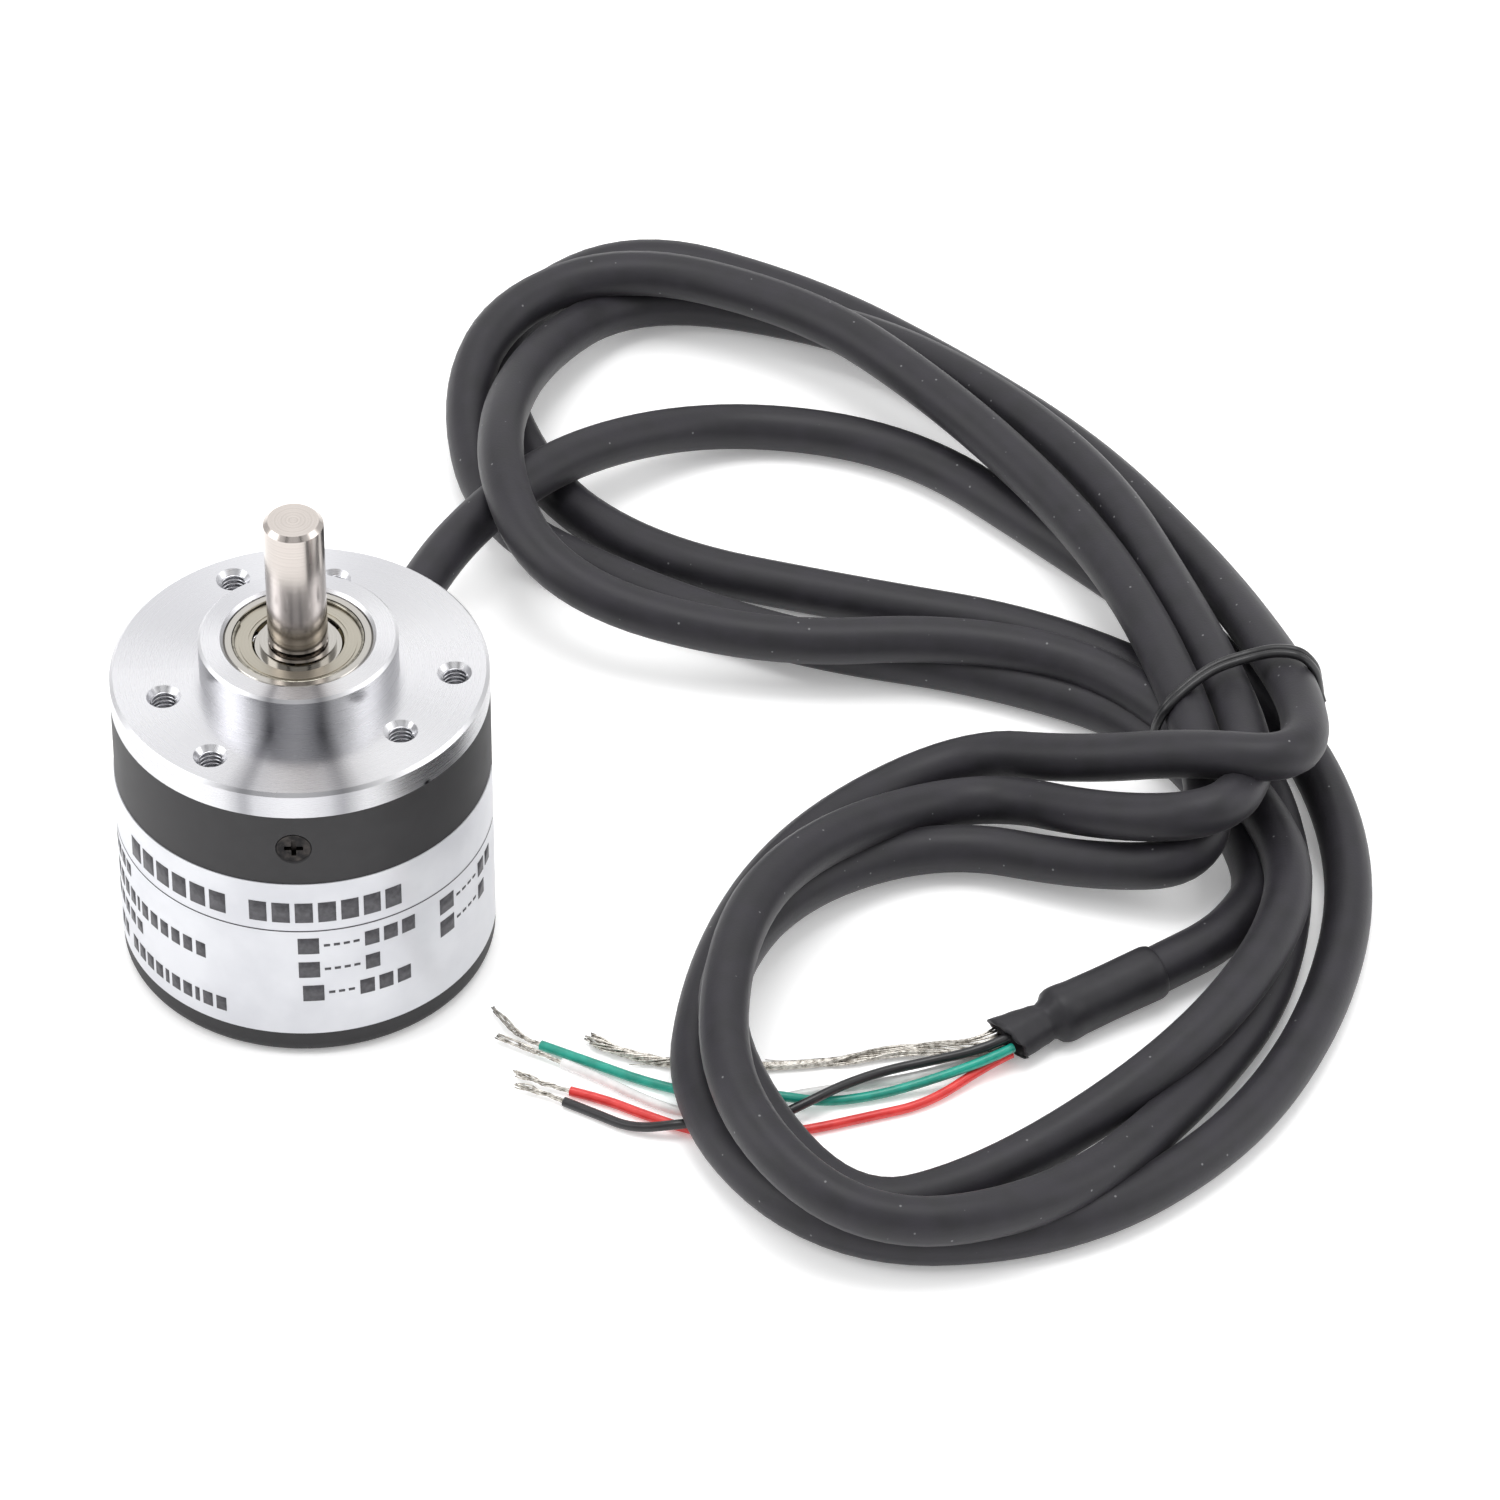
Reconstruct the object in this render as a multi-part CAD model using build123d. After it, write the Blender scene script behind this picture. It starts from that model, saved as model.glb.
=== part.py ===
from build123d import *
from math import atan2, cos, degrees, pi, radians, sin, tan
import os

# Incremental rotary encoder with a shaft, standing on its rear face, and its cable in a tied hank.
# Millimetres. +Z runs along the shaft, the origin is the middle of the rear face.

# Driving dimensions
bodyRadius = 19.0
flangeLow = 32.0
flangeTop = 35.0
bossRadius = 10.0
bossTop = 39.3
shaftRadius = 3.0
shaftTop = 54.3
shaftTopEdge = 0.45
shaftLowEdge = 0.3
grindingRelief = 0.9
grindingReliefTop = 39.4
grindingReliefDepth = 0.25
clipLow = 21.6
clipHigh = 22.2
clipOuter = 4.7
clipDepth = 0.35
clipSlot = 3.2
wall = 1.4
floorThickness = 2.0
housingEdge = 1.4
fitGap = 0.02
slideGap = 0.01

# Bearings, 6 x 15 x 5
bearingRadius = 7.5
bearingWidth = 5.0
ballRadius = 1.19
ballPitchRadius = 5.25
ballCount = 7
ballGap = 0.05
frontBearingLow = 34.0
rearBearingLow = 22.4
outerRingInner = 6.1
outerRingEdge = 0.2
shieldSeatRadius = 6.66
shieldSeatDepth = 0.62
innerRingOuter = 4.35
innerStepRadius = 3.85
innerStepDepth = 0.75
cageInner = 4.75
cageOuter = 5.75
cageBack = 1.6
cageFront = 0.85
shieldInner = 4.62
shieldOuter = 6.5
shieldDepth = 0.49
shieldHalfThickness = 0.12
shieldRibInner = 5.0
shieldRibOuter = 5.9
shieldRibHalf = 0.2
snapWireCircle = 6.48
snapWireRadius = 0.17
snapWireDepth = 0.19
snapWireGap = 6.2
snapWireGapAngle = 128.0
bearingSpacerRadius = 3.9

# Internal retaining ring under the rear bearing, and the groove that holds it
retainerOuter = 7.9
retainerInner = 6.7
retainerLow = 21.3
retainerHigh = 22.2
retainerGrooveRadius = 7.95
retainerGrooveGap = 0.1
earTurn = 16.0
earRadius = 6.5
earSize = (1.9, 2.2)
earHoleRadius = 0.35

# Flange underside
spigotRadius = bodyRadius - wall - 0.05
spigotInner = 12.2
spigotLow = 25.5
stemRadius = 10.2
stemLow = 20.4
shoulderRadius = 6.4
washerRoom = 0.8
washerInner = 6.5
washerOuter = 7.4
sealHeight = 30.1
sealRadius = 0.43
plateEdge = 0.35
bossEdge = 0.3
bearingMouth = 0.55

# Mounting holes: two circles of three M3 holes
holeRadius = 1.25
holeDepth = 4.0
holeMouthRadius = 1.75
innerCircleRadius = 14.0
innerCircleStart = -162.0
outerCircleRadius = 15.5
outerCircleStart = -122.0

# Radial screws that hold the housing
screwStart = -90.0
screwHeight = 27.9
screwHeadRadius = 1.7
screwShankRadius = 0.95
screwHeadDepth = 1.0
screwInnerEnd = 14.3
screwSunk = 0.12
screwRecess = 1.9
screwRecessDepth = 0.7
recessShare = 0.26

# Label
labelLow = 3.0
labelTop = 23.2
labelThickness = 0.1
labelStart = -187.0
labelSweep = 184.0

# Board stack
boardRadius = 16.6
boardLow = 12.0
boardTop = 13.4
discRadius = 12.7
discLow = 15.6
discTop = 16.4
hubRadius = 7.0
hubTop = 20.6
shaftLow = 14.4
sensorAngle = -40.0
sensorRadius = 10.8
standoffRadius = 14.9
standoffStart = 20.0
standoffOuter = 1.65
standoffThread = 1.0
standoffStem = 3.0
boardHole = 4.0
boardScrewHead = 1.75
boardScrewHeadDepth = 1.3
boardScrewLength = 4.0
setScrewRadius = 1.0
setScrewAngle = 140.0
setScrewHeight = 18.5
setScrewSocket = 0.5
discClampRadius = 6.0
discClampThickness = 1.0
ledRadius = 1.5
ledLow = 17.4
ledTop = 20.1
lensRadius = 0.95
legPitch = 1.27
chipHeight = 1.6
chipSize = (5.0, 3.9)
headerLow = 6.6
headerPitch = 2.4
headerFirst = -3.6

# Cable
cableRadius = 2.5
exitAngle = 80.0
exitHeight = 7.0
glandOuterEnd = 23.0
jacketInnerEnd = 8.0
jacketOuterEnd = 18.9
clampRadius = 11.5
clampLength = 4.0
clampWidth = 12.0
clampTop = 10.2
clampScrewOffset = 4.5
clampScrewRadius = 0.8
clampScrewHead = 1.55
clampScrewLow = 3.6
glandRadius = 3.3
glandShoulderRadius = 4.3
glandShoulder = 1.6
glandCollarRadius = 4.6
glandCollarEnd = 3.5
innerLeadRadius = 0.45
innerLeadSpacing = 0.8
innerLeadLift = 0.7
innerLeadHeight = 9.0
hankHeight = 17.0
wireRadius = 0.5
strandRadius = 0.3
tieRadius = 0.5
tieHalfWidth = 12.8
tieMiddle = (94.2, 23.7, 0)
tieDirection = Vector(25.4, 3.0, 0)

# Route of the free cable from the gland to the hank, and of its first strand across the hank
leadRoute = [(3.282, 18.613, 7.0), (5.192, 29.445, 7.0), (8.6, 42.0, 7.3), (14.6, 55.2, 7.6)]
bridgeRoute = [(24.0, 66.0, 2.6), (36.0, 73.5, 2.5), (51.0, 74.0, 2.5), (66.0, 67.0, 2.5), (78.0, 55.5, 2.5),
               (88.0, 42.0, 2.6)]

hankOutline = [(15, 49), (11.5, 64), (12, 82), (16, 98), (24, 107.5), (36, 110.5), (48, 108), (62, 98),
               (76, 85), (90, 68), (100, 48), (105, 28), (109.5, 9), (109.5, -7), (102, -25), (91, -40),
               (77, -51), (66, -53.5), (54, -51), (42, -37), (37.5, -21), (39.5, -6), (48, 6), (60, 17),
               (72, 20.5), (90, 19.5), (70, 31), (52, 34.5), (36, 37), (24, 42)]
upperHole = [(24, 70), (34, 61.5), (46, 56), (57, 53.5), (67, 50), (77, 45.5), (86.5, 41), (85, 49.5),
             (79.5, 60), (73, 70), (64, 80), (56, 85.5), (47, 88), (37, 88.5), (28, 86), (23, 79)]
lowerHole = [(46.5, -14), (50, -6), (57, 0.5), (66, 3), (80, 2.2), (89.5, 0.5), (93, -8), (88, -18),
             (81, -27), (71, -36), (62, -41), (54.5, -39), (48.5, -31), (46, -22)]
wireTunnelLow = (33.0, -34.0, 0.0)
wireTunnelSize = (19.0, 16.0, 3.2)

# Heat-shrink sleeve on the cable's end
sleeveStart = Vector(86.2, -9.2, 2.9)
sleeveEnd = Vector(71.0, -19.3, 2.1)
sleeveRadius = 2.9
sleeveNeckRadius = 1.75
sleeveMouthRadius = 1.95

# Routes of the five wires after the point where each leaves the sleeve
wireRoutes = {
    "green": [(62.5, -24.0, 1.2), (57.4, -25.4, 0.6), (52.4, -26.4, 0.7), (48.2, -26.6, 1.8),
              (43.6, -25.9, 1.7), (39.2, -25.0, 0.6), (34.3, -23.2, 0.5), (29.0, -20.5, 0.5),
              (24.0, -18.0, 0.5)],
    "black": [(63.2, -21.6, 1.9), (58.6, -23.0, 1.9), (54.4, -25.2, 2.0), (50.9, -27.6, 1.9),
              (46.8, -29.2, 0.7), (42.4, -29.8, 1.7), (38.0, -30.8, 1.8), (33.4, -30.2, 0.6),
              (29.6, -27.9, 0.5), (26.5, -26.2, 0.5)],
    "red": [(63.0, -26.3, 0.5), (57.0, -28.2, 0.5), (50.8, -30.2, 0.5), (45.0, -31.2, 0.5),
            (39.4, -30.4, 0.5), (34.4, -28.0, 0.5), (30.6, -25.9, 0.5), (27.1, -24.7, 0.5)],
    "white": [(61.6, -22.6, 0.5), (55.0, -23.9, 0.5), (49.2, -25.2, 0.5), (43.8, -27.4, 0.5),
              (38.6, -28.0, 0.5), (34.2, -25.7, 0.5), (30.2, -22.9, 0.5), (26.2, -20.6, 0.5)],
    "shield": [(62.2, -18.0, 0.5), (55.5, -20.0, 0.5), (48.5, -20.9, 0.5), (42.0, -21.1, 0.5),
               (36.0, -20.5, 0.5), (31.8, -19.2, 0.5), (28.9, -17.2, 0.5)],
}
# Where each wire starts on the sleeve's end: turns around its axis, in degrees
wireSeatAngles = {"green": 18, "black": 90, "red": -54, "white": -126, "shield": 162}
wireSeatRadius = 1.0
strandEnds = {"green": (19.0, -12.9, 0.5), "white": (19.6, -16.9, 0.5), "red": (21.4, -22.3, 0.5),
              "black": (21.6, -24.0, 0.5)}

os.makedirs("parts", exist_ok=True)
base = (Align.CENTER, Align.CENTER, Align.MIN)


def save(name, solid):
    pieces = solid.solids()
    shape = pieces[0] if len(pieces) == 1 else Compound(children=pieces)
    shape.label = name
    export_step(shape, f"parts/{name}.step")
    print(f"{name:24s} solids {len(pieces):3d}  volume {sum(piece.volume for piece in pieces):10.3f}")


def post(radius, low, high):
    return Pos(0, 0, low) * Cylinder(radius, high - low, align=base)


def ring(outer, inner, low, high):
    return post(outer, low, high) - post(inner, low - 1, high + 1)


def cone(lowRadius, highRadius, low, high):
    return Pos(0, 0, low) * Cone(lowRadius, highRadius, high - low, align=base)


def outward(angle, height):
    # a plane whose local Z points away from the shaft, and whose local Y is up
    direction = Vector(cos(radians(angle)), sin(radians(angle)), 0)
    return Plane(origin=(0, 0, height), x_dir=direction.cross(Vector(0, 0, 1)) * -1, z_dir=direction)


def around(radius, start, height=0.0):
    # three places at equal angles about the shaft
    return [Pos(radius * cos(radians(start + 120 * i)), radius * sin(radians(start + 120 * i)), height)
            for i in range(3)]


def radiiFor(points):
    # each corner's arc takes 0.45 of the shorter run beside it
    corners = [Vector(*point) for point in points]
    radii = []
    for before, corner, after in zip(corners, corners[1:], corners[2:]):
        turn = radians((corner - before).get_angle(after - corner))
        shorter = min((corner - before).length, (after - corner).length)
        radii.append(0.45 * shorter / tan(turn / 2))
    return radii


def tube(name, points, radius):
    radii = radiiFor(points)
    path = FilletPolyline(*points, radius=radii)
    section = Plane(origin=points[0], z_dir=path % 0) * Circle(radius)
    solid = sweep(section, path=path)
    expected = pi * radius ** 2 * path.length
    print(f"{name}: length {path.length:.1f}, smallest radius {min(radii):.1f},"
          f" volume over section x length {solid.volume / expected:.4f}")
    return solid


def rounded(points, share=0.42):
    # a closed outline with each corner rounded as far as its two sides allow
    count = len(points)
    corners = [Vector(*point) for point in points]
    middles = [(corners[i] + corners[(i + 1) % count]) * 0.5 for i in range(count)]
    curves = []
    for i in range(count):
        start = middles[i - 1]
        end = middles[i]
        corner = corners[i]
        inLength = (corner - start).length * 2 * share
        outLength = (end - corner).length * 2 * share
        reach = min(inLength, outLength)
        arcStart = corner + (start - corner).normalized() * reach
        arcEnd = corner + (end - corner).normalized() * reach
        curves.append(Line(start, arcStart))
        curves.append(TangentArc(arcStart, arcEnd, tangent=corner - arcStart))
        curves.append(Line(arcEnd, end))
    return make_face(Wire(Curve() + curves).edges())


# ---------------------------------------------------------------- flange
def makeFlange():
    plate = post(bodyRadius, flangeLow, flangeTop)
    plate = chamfer(plate.edges().sort_by(Axis.Z)[-1], plateEdge)
    boss = post(bossRadius, flangeTop - 1, bossTop)
    boss = chamfer(boss.edges().sort_by(Axis.Z)[-1], bossEdge)
    spigot = ring(spigotRadius, spigotInner, spigotLow, flangeLow + 0.5)
    stem = post(stemRadius, stemLow, flangeLow + 0.5)
    flange = plate + boss + spigot + stem
    flange -= post(shoulderRadius, stemLow - 1, bossTop + 1)
    flange -= post(bearingRadius, frontBearingLow, bossTop + 1)
    flange -= cone(bearingRadius, bearingRadius + bearingMouth, bossTop - 0.3, bossTop + 0.25)
    flange -= post(bearingRadius, stemLow - 1, rearBearingLow + bearingWidth + washerRoom)
    flange -= post(retainerGrooveRadius, retainerLow - retainerGrooveGap, retainerHigh + retainerGrooveGap)
    flange -= ring(spigotRadius + 1, spigotRadius - 2 * sealRadius - 0.04, sealHeight - 0.7, sealHeight + 0.7)
    for radius, start in ((innerCircleRadius, innerCircleStart), (outerCircleRadius, outerCircleStart)):
        for place in around(radius, start):
            flange -= place * post(holeRadius, flangeTop - holeDepth, flangeTop + 1)
            flange -= place * cone(holeRadius - 0.1, holeMouthRadius, flangeTop - 0.6, flangeTop + 0.02)
    for i in range(3):
        hole = post(screwShankRadius + fitGap, screwInnerEnd - 0.5, bodyRadius + 1)
        flange -= outward(screwStart + 120 * i, screwHeight) * hole
    for place in around(standoffRadius, standoffStart):
        flange -= place * post(standoffThread + fitGap, spigotLow - 1, spigotLow + standoffStem + 0.2)
    return flange


def makeSeal():
    return Pos(0, 0, sealHeight) * Torus(spigotRadius - sealRadius, sealRadius)


# ---------------------------------------------------------------- housing, label, screws
def clampFrame():
    # local X across the cable, local Y along it, local Z up, at the middle of the clamp
    return Rot(0, 0, exitAngle - 90) * Pos(0, clampRadius, 0)


def cableHole(radius):
    return Pos(0, 0, exitHeight) * Rot(90, 0, 0) * Cylinder(radius, 3 * clampLength)


def makeHousing():
    cup = post(bodyRadius, 0, flangeLow)
    cup = fillet(cup.edges().sort_by(Axis.Z)[0], housingEdge)
    cup -= post(bodyRadius - wall, floorThickness, flangeLow + 1)
    cradleHeight = exitHeight - floorThickness + 0.45
    cradle = Pos(0, 0, floorThickness - 0.5) * Box(clampWidth, clampLength, cradleHeight, align=base)
    cup += clampFrame() * (cradle - cableHole(cableRadius + fitGap))
    for side in (-1, 1):
        hole = post(clampScrewRadius + fitGap, clampScrewLow - 0.2, exitHeight + 1)
        cup -= clampFrame() * Pos(side * clampScrewOffset, 0, 0) * hole
    cup -= outward(exitAngle, exitHeight) * post(glandRadius + fitGap, bodyRadius - 5, bodyRadius + 2)
    for i in range(3):
        place = outward(screwStart + 120 * i, screwHeight)
        cup -= place * post(screwShankRadius + 0.1, bodyRadius - 3, bodyRadius + 1)
        low = bodyRadius - screwHeadDepth - 0.1
        cup -= place * cone(screwShankRadius, screwHeadRadius + 0.3, low, bodyRadius + 0.1)
    return cup


def makeLabel():
    section = Pos(bodyRadius + labelThickness / 2, 0, (labelLow + labelTop) / 2) * Rot(90, 0, 0)
    section = section * Rectangle(labelThickness, labelTop - labelLow)
    return Rot(0, 0, labelStart) * revolve(section, Axis.Z, labelSweep)


def crossRecess(width, depth, top):
    bar = Pos(0, 0, top - depth) * Box(width, width * recessShare, depth + 0.5, align=base)
    return bar + Rot(0, 0, 90) * bar


def makeHousingScrews():
    screws = []
    for i in range(3):
        head = cone(screwShankRadius, screwHeadRadius, bodyRadius - screwHeadDepth, bodyRadius - screwSunk)
        screw = head + post(screwShankRadius, screwInnerEnd, bodyRadius - screwHeadDepth + 0.1)
        screw -= crossRecess(screwRecess, screwRecessDepth, bodyRadius - screwSunk)
        screws.append(outward(screwStart + 120 * i, screwHeight) * screw)
    return Compound(children=screws)


# ---------------------------------------------------------------- bearings
def makeBearing(name, low):
    middle = low + bearingWidth / 2
    groove = Pos(0, 0, middle) * Torus(ballPitchRadius, ballRadius + ballGap)
    high = low + bearingWidth
    outer = ring(bearingRadius - slideGap, outerRingInner, low, high)
    outer -= post(shieldSeatRadius, high - shieldSeatDepth, high + 1)
    outer -= post(shieldSeatRadius, low - 1, low + shieldSeatDepth)
    for level in (-1, 0):
        outer = chamfer(outer.edges().group_by(Axis.Z)[level].sort_by(SortBy.LENGTH)[-1], outerRingEdge)
    save(f"{name}_outer_ring", outer - groove)

    inner = ring(innerRingOuter, shaftRadius + slideGap, low, high)
    inner -= ring(innerRingOuter + 1, innerStepRadius, high - innerStepDepth, high + 1)
    inner -= ring(innerRingOuter + 1, innerStepRadius, low - 1, low + innerStepDepth)
    save(f"{name}_inner_ring", inner - groove)

    seats = [Rot(0, 0, 360 * i / ballCount) * Pos(ballPitchRadius, 0, middle) for i in range(ballCount)]
    save(f"{name}_balls", Compound(children=[seat * Sphere(ballRadius) for seat in seats]))
    cage = ring(cageOuter, cageInner, middle - cageBack, middle + cageFront)
    for seat in seats:
        cage -= seat * Sphere(ballRadius + ballGap)
    save(f"{name}_cage", cage)

    shields = []
    wires = []
    for side in (1, -1):
        face = middle + side * bearingWidth / 2
        level = face - side * shieldDepth
        plate = ring(shieldOuter, shieldInner, level - shieldHalfThickness, level + shieldHalfThickness)
        rib = ring(shieldRibOuter, shieldRibInner, level - shieldRibHalf, level + shieldRibHalf)
        shields.append(plate + rib)
        wire = Pos(0, 0, face - side * snapWireDepth) * Torus(snapWireCircle, snapWireRadius)
        wire -= Rot(0, 0, snapWireGapAngle) * Pos(snapWireCircle, 0, face) * Box(2, snapWireGap, 2)
        wires.append(wire)
    save(f"{name}_shields", Compound(children=shields))
    save(f"{name}_snap_wires", Compound(children=wires))


def makeRetainingRing():
    # two ears with plier holes stand inwards beside the gap
    body = ring(retainerOuter, retainerInner, retainerLow, retainerHigh)
    for turn in (earTurn, -earTurn):
        ear = Box(*earSize, retainerHigh - retainerLow, align=base)
        body += Rot(0, 0, turn) * Pos(earRadius, 0, retainerLow) * ear
    body -= Pos(retainerInner + 0.3, 0, retainerLow - 1) * Box(4, 1.6, 3, align=base)
    for turn in (earTurn, -earTurn):
        hole = post(earHoleRadius, retainerLow - 1, retainerHigh + 1)
        body -= Rot(0, 0, turn) * Pos(earRadius - 0.2, 0, 0) * hole
    return body


# ---------------------------------------------------------------- rotor
def makeShaft():
    shaft = post(shaftRadius, shaftLow, shaftTop)
    shaft = chamfer(shaft.edges().group_by(Axis.Z)[-1], shaftTopEdge)
    shaft = chamfer(shaft.edges().group_by(Axis.Z)[0], shaftLowEdge)
    reliefLow = grindingReliefTop - grindingRelief
    shaft -= ring(shaftRadius + 1, shaftRadius - grindingReliefDepth, reliefLow, grindingReliefTop)
    return shaft - ring(shaftRadius + 1, shaftRadius - clipDepth, clipLow - fitGap, clipHigh + fitGap)


def makeShaftClip():
    clip = ring(clipOuter, shaftRadius - clipDepth + fitGap, clipLow, clipHigh)
    return clip - Pos(4, 0, clipLow - 1) * Box(5, clipSlot, 3, align=base)


def makeDiscHub():
    hub = post(hubRadius, discTop, hubTop)
    hub = chamfer(hub.edges().group_by(Axis.Z)[-1], 0.4)
    hub -= post(shaftRadius + slideGap, discTop - 1, hubTop + 1)
    return hub - outward(setScrewAngle, setScrewHeight) * post(setScrewRadius + fitGap, 0, hubRadius + 1)


def makeSetScrew():
    screw = post(setScrewRadius, shaftRadius + slideGap, hubRadius - 0.2)
    socket = extrude(Pos(0, 0, hubRadius - 1.2) * RegularPolygon(setScrewSocket, 6), 2)
    return outward(setScrewAngle, setScrewHeight) * (screw - socket)


# ---------------------------------------------------------------- optics and board
def sensorPlace(height=0.0):
    return Rot(0, 0, sensorAngle) * Pos(sensorRadius, 0, height)


def makeLedHolder():
    foot = Pos(15.1, 0, boardTop) * Box(2.2, 8, 6.8, align=base)
    arm = Pos(12.25, 0, 17.6) * Box(7.9, 8, 2.6, align=base)
    holder = foot + arm
    holder = chamfer(holder.edges().filter_by(Axis.Z), 0.4)
    holder -= Pos(sensorRadius, 0, 16) * Cylinder(ledRadius + fitGap, 6, align=base)
    return Rot(0, 0, sensorAngle) * holder


def makeLed():
    body = post(ledRadius, ledLow, ledTop) + Pos(0, 0, ledLow + 0.35) * Sphere(lensRadius)
    return sensorPlace() * body


def makePhotoSensor():
    body = Pos(0, 0, boardTop + 0.1) * Box(5.0, 6.0, 1.4, align=base)
    for i in range(4):
        for side in (-1, 1):
            leg = Pos(side * 2.6, -2.1 + 1.4 * i, boardTop) * Box(1.0, 0.5, 0.4, align=base)
            body += leg
    return sensorPlace() * body


def makeReticle():
    return sensorPlace(boardTop + 1.5) * Box(4.6, 5.4, 0.4, align=base)


def makeBoard():
    board = ring(boardRadius, boardHole, boardLow, boardTop)
    for place in around(standoffRadius, standoffStart):
        board -= place * post(standoffThread + 0.1, boardLow - 1, boardTop + 1)
    return board


def makeStandoffs():
    pieces = []
    for place in around(standoffRadius, standoffStart):
        piece = post(standoffOuter, boardTop, spigotLow)
        piece += post(standoffThread, spigotLow, spigotLow + standoffStem)
        piece -= post(standoffThread + fitGap, boardTop - 1, boardTop + boardScrewLength + 0.5)
        pieces.append(place * piece)
    return Compound(children=pieces)


def makeBoardScrews():
    pieces = []
    for place in around(standoffRadius, standoffStart):
        headLow = boardLow - boardScrewHeadDepth
        screw = post(boardScrewHead, headLow, boardLow)
        screw += post(standoffThread, headLow + 0.5, boardTop + boardScrewLength)
        screw -= Rot(180, 0, 0) * crossRecess(1.7, 0.8, -headLow)
        pieces.append(place * screw)
    return Compound(children=pieces)


def makeChip(x, y, legs):
    length, width = chipSize
    body = Pos(0, 0, -chipHeight) * Box(length, width, chipHeight - 0.15, align=base)
    body = chamfer(body.edges().group_by(Axis.Z)[0], 0.2)
    for i in range(legs):
        offset = (i - (legs - 1) / 2) * legPitch
        for side in (-1, 1):
            shoulder = Pos(offset, side * (width / 2 + 0.2), -0.8) * Box(0.45, 0.6, 0.2, align=base)
            leg = Pos(offset, side * (width / 2 + 0.45), -0.8) * Box(0.45, 0.2, 0.8, align=base)
            pad = Pos(offset, side * (width / 2 + 0.75), -0.2) * Box(0.45, 0.6, 0.2, align=base)
            body += shoulder + leg + pad
    return Pos(x, y, boardLow) * body


def makeSmallParts(places, length, width, height):
    pieces = []
    for x, y, turn in places:
        pieces.append(Pos(x, y, boardLow - height) * Rot(0, 0, turn) * Box(length, width, height, align=base))
    return Compound(children=pieces)


def makeHeader():
    body = Box(11.0, 4.6, boardLow - headerLow, align=base)
    body -= Pos(0, 0.4, -1) * Box(9.8, 2.6, 1.6, align=base)
    for i in range(4):
        body -= Pos(headerFirst + headerPitch * i, 2.3, 2.4) * Rot(90, 0, 0) * Cylinder(0.6, 1.2)
    return Pos(0, -7.0, headerLow) * body


# ---------------------------------------------------------------- cable inside the housing
def makeGland():
    inside = bodyRadius - wall
    gland = post(glandRadius, inside - glandShoulder, glandOuterEnd - 0.5)
    gland += post(glandShoulderRadius, inside - glandShoulder, inside)
    gland += cone(glandCollarRadius, glandCollarEnd, bodyRadius - 2.0, glandOuterEnd)
    gland -= post(cableRadius + slideGap, inside - 3, glandOuterEnd + 1)
    gland = outward(exitAngle, exitHeight) * gland
    wallRing = ring(bodyRadius + 0.02, inside - 0.02, exitHeight - 8, exitHeight + 8)
    wallRing -= outward(exitAngle, exitHeight) * post(glandRadius, bodyRadius - 5, bodyRadius + 2)
    return gland - wallRing


def makeJacketEnd():
    jacket = post(cableRadius, jacketInnerEnd, jacketOuterEnd)
    return outward(exitAngle, exitHeight) * jacket


def makeClamp():
    height = clampTop - exitHeight - 0.05
    saddle = Pos(0, 0, clampTop - height) * Box(clampWidth, clampLength, height, align=base)
    saddle = chamfer(saddle.edges().filter_by(Axis.Z), 0.5)
    saddle -= cableHole(cableRadius + fitGap)
    for side in (-1, 1):
        place = Pos(side * clampScrewOffset, 0, 0)
        saddle -= place * post(clampScrewRadius + 0.1, exitHeight - 1, clampTop + 1)
        saddle -= place * cone(clampScrewRadius + 0.05, clampScrewHead + 0.1, clampTop - 0.8, clampTop + 0.02)
    return clampFrame() * saddle


def makeClampScrews():
    pieces = []
    for side in (-1, 1):
        screw = cone(clampScrewRadius, clampScrewHead, clampTop - 0.8, clampTop - 0.05)
        screw += post(clampScrewRadius, clampScrewLow, clampTop - 0.7)
        screw -= crossRecess(1.4, 0.45, clampTop - 0.05)
        pieces.append(clampFrame() * Pos(side * clampScrewOffset, 0, 0) * screw)
    return Compound(children=pieces)


def makeInnerLead(index, name):
    direction = Vector(cos(radians(exitAngle)), sin(radians(exitAngle)), 0)
    across = Vector(0, 0, 1).cross(direction)
    side = (1.5 - index) * innerLeadSpacing
    lift = innerLeadLift if index % 2 else -innerLeadLift
    start = direction * jacketInnerEnd + across * side + Vector(0, 0, exitHeight + lift)
    x = headerFirst + headerPitch * index
    points = [start, start - direction * 2.5, Vector(x, -0.6, innerLeadHeight),
              Vector(x, -4.1, innerLeadHeight)]
    return tube(name, [tuple(point) for point in points], innerLeadRadius)


# ---------------------------------------------------------------- free cable
def makeHank():
    hank = extrude(rounded(hankOutline) - rounded(upperHole) - rounded(lowerHole), hankHeight)
    hank += tube("first strand", bridgeRoute, cableRadius)
    along = (sleeveEnd - sleeveStart).normalized()
    tail = [(97.0, 5.5, 2.6), tuple(sleeveStart - along * 9), tuple(sleeveStart)]
    hank += tube("tail", tail, cableRadius)
    hank -= Pos(*wireTunnelLow) * Box(*wireTunnelSize, align=(Align.MIN, Align.MIN, Align.MIN))
    hank -= tube("seat of the lead", leadRoute, cableRadius + slideGap)
    turn = degrees(atan2(tieDirection.Y, tieDirection.X))
    groove = Rot(0, 0, turn) * Box(2 * tieHalfWidth + 4, 3 * tieRadius, 2.4 * tieRadius, align=base)
    return hank - Pos(*tieMiddle) * groove


def sleeveFrame():
    direction = (sleeveEnd - sleeveStart).normalized()
    across = Vector(0, 0, 1).cross(direction).normalized()
    return Plane(origin=tuple(sleeveStart), x_dir=across, z_dir=direction)


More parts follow.
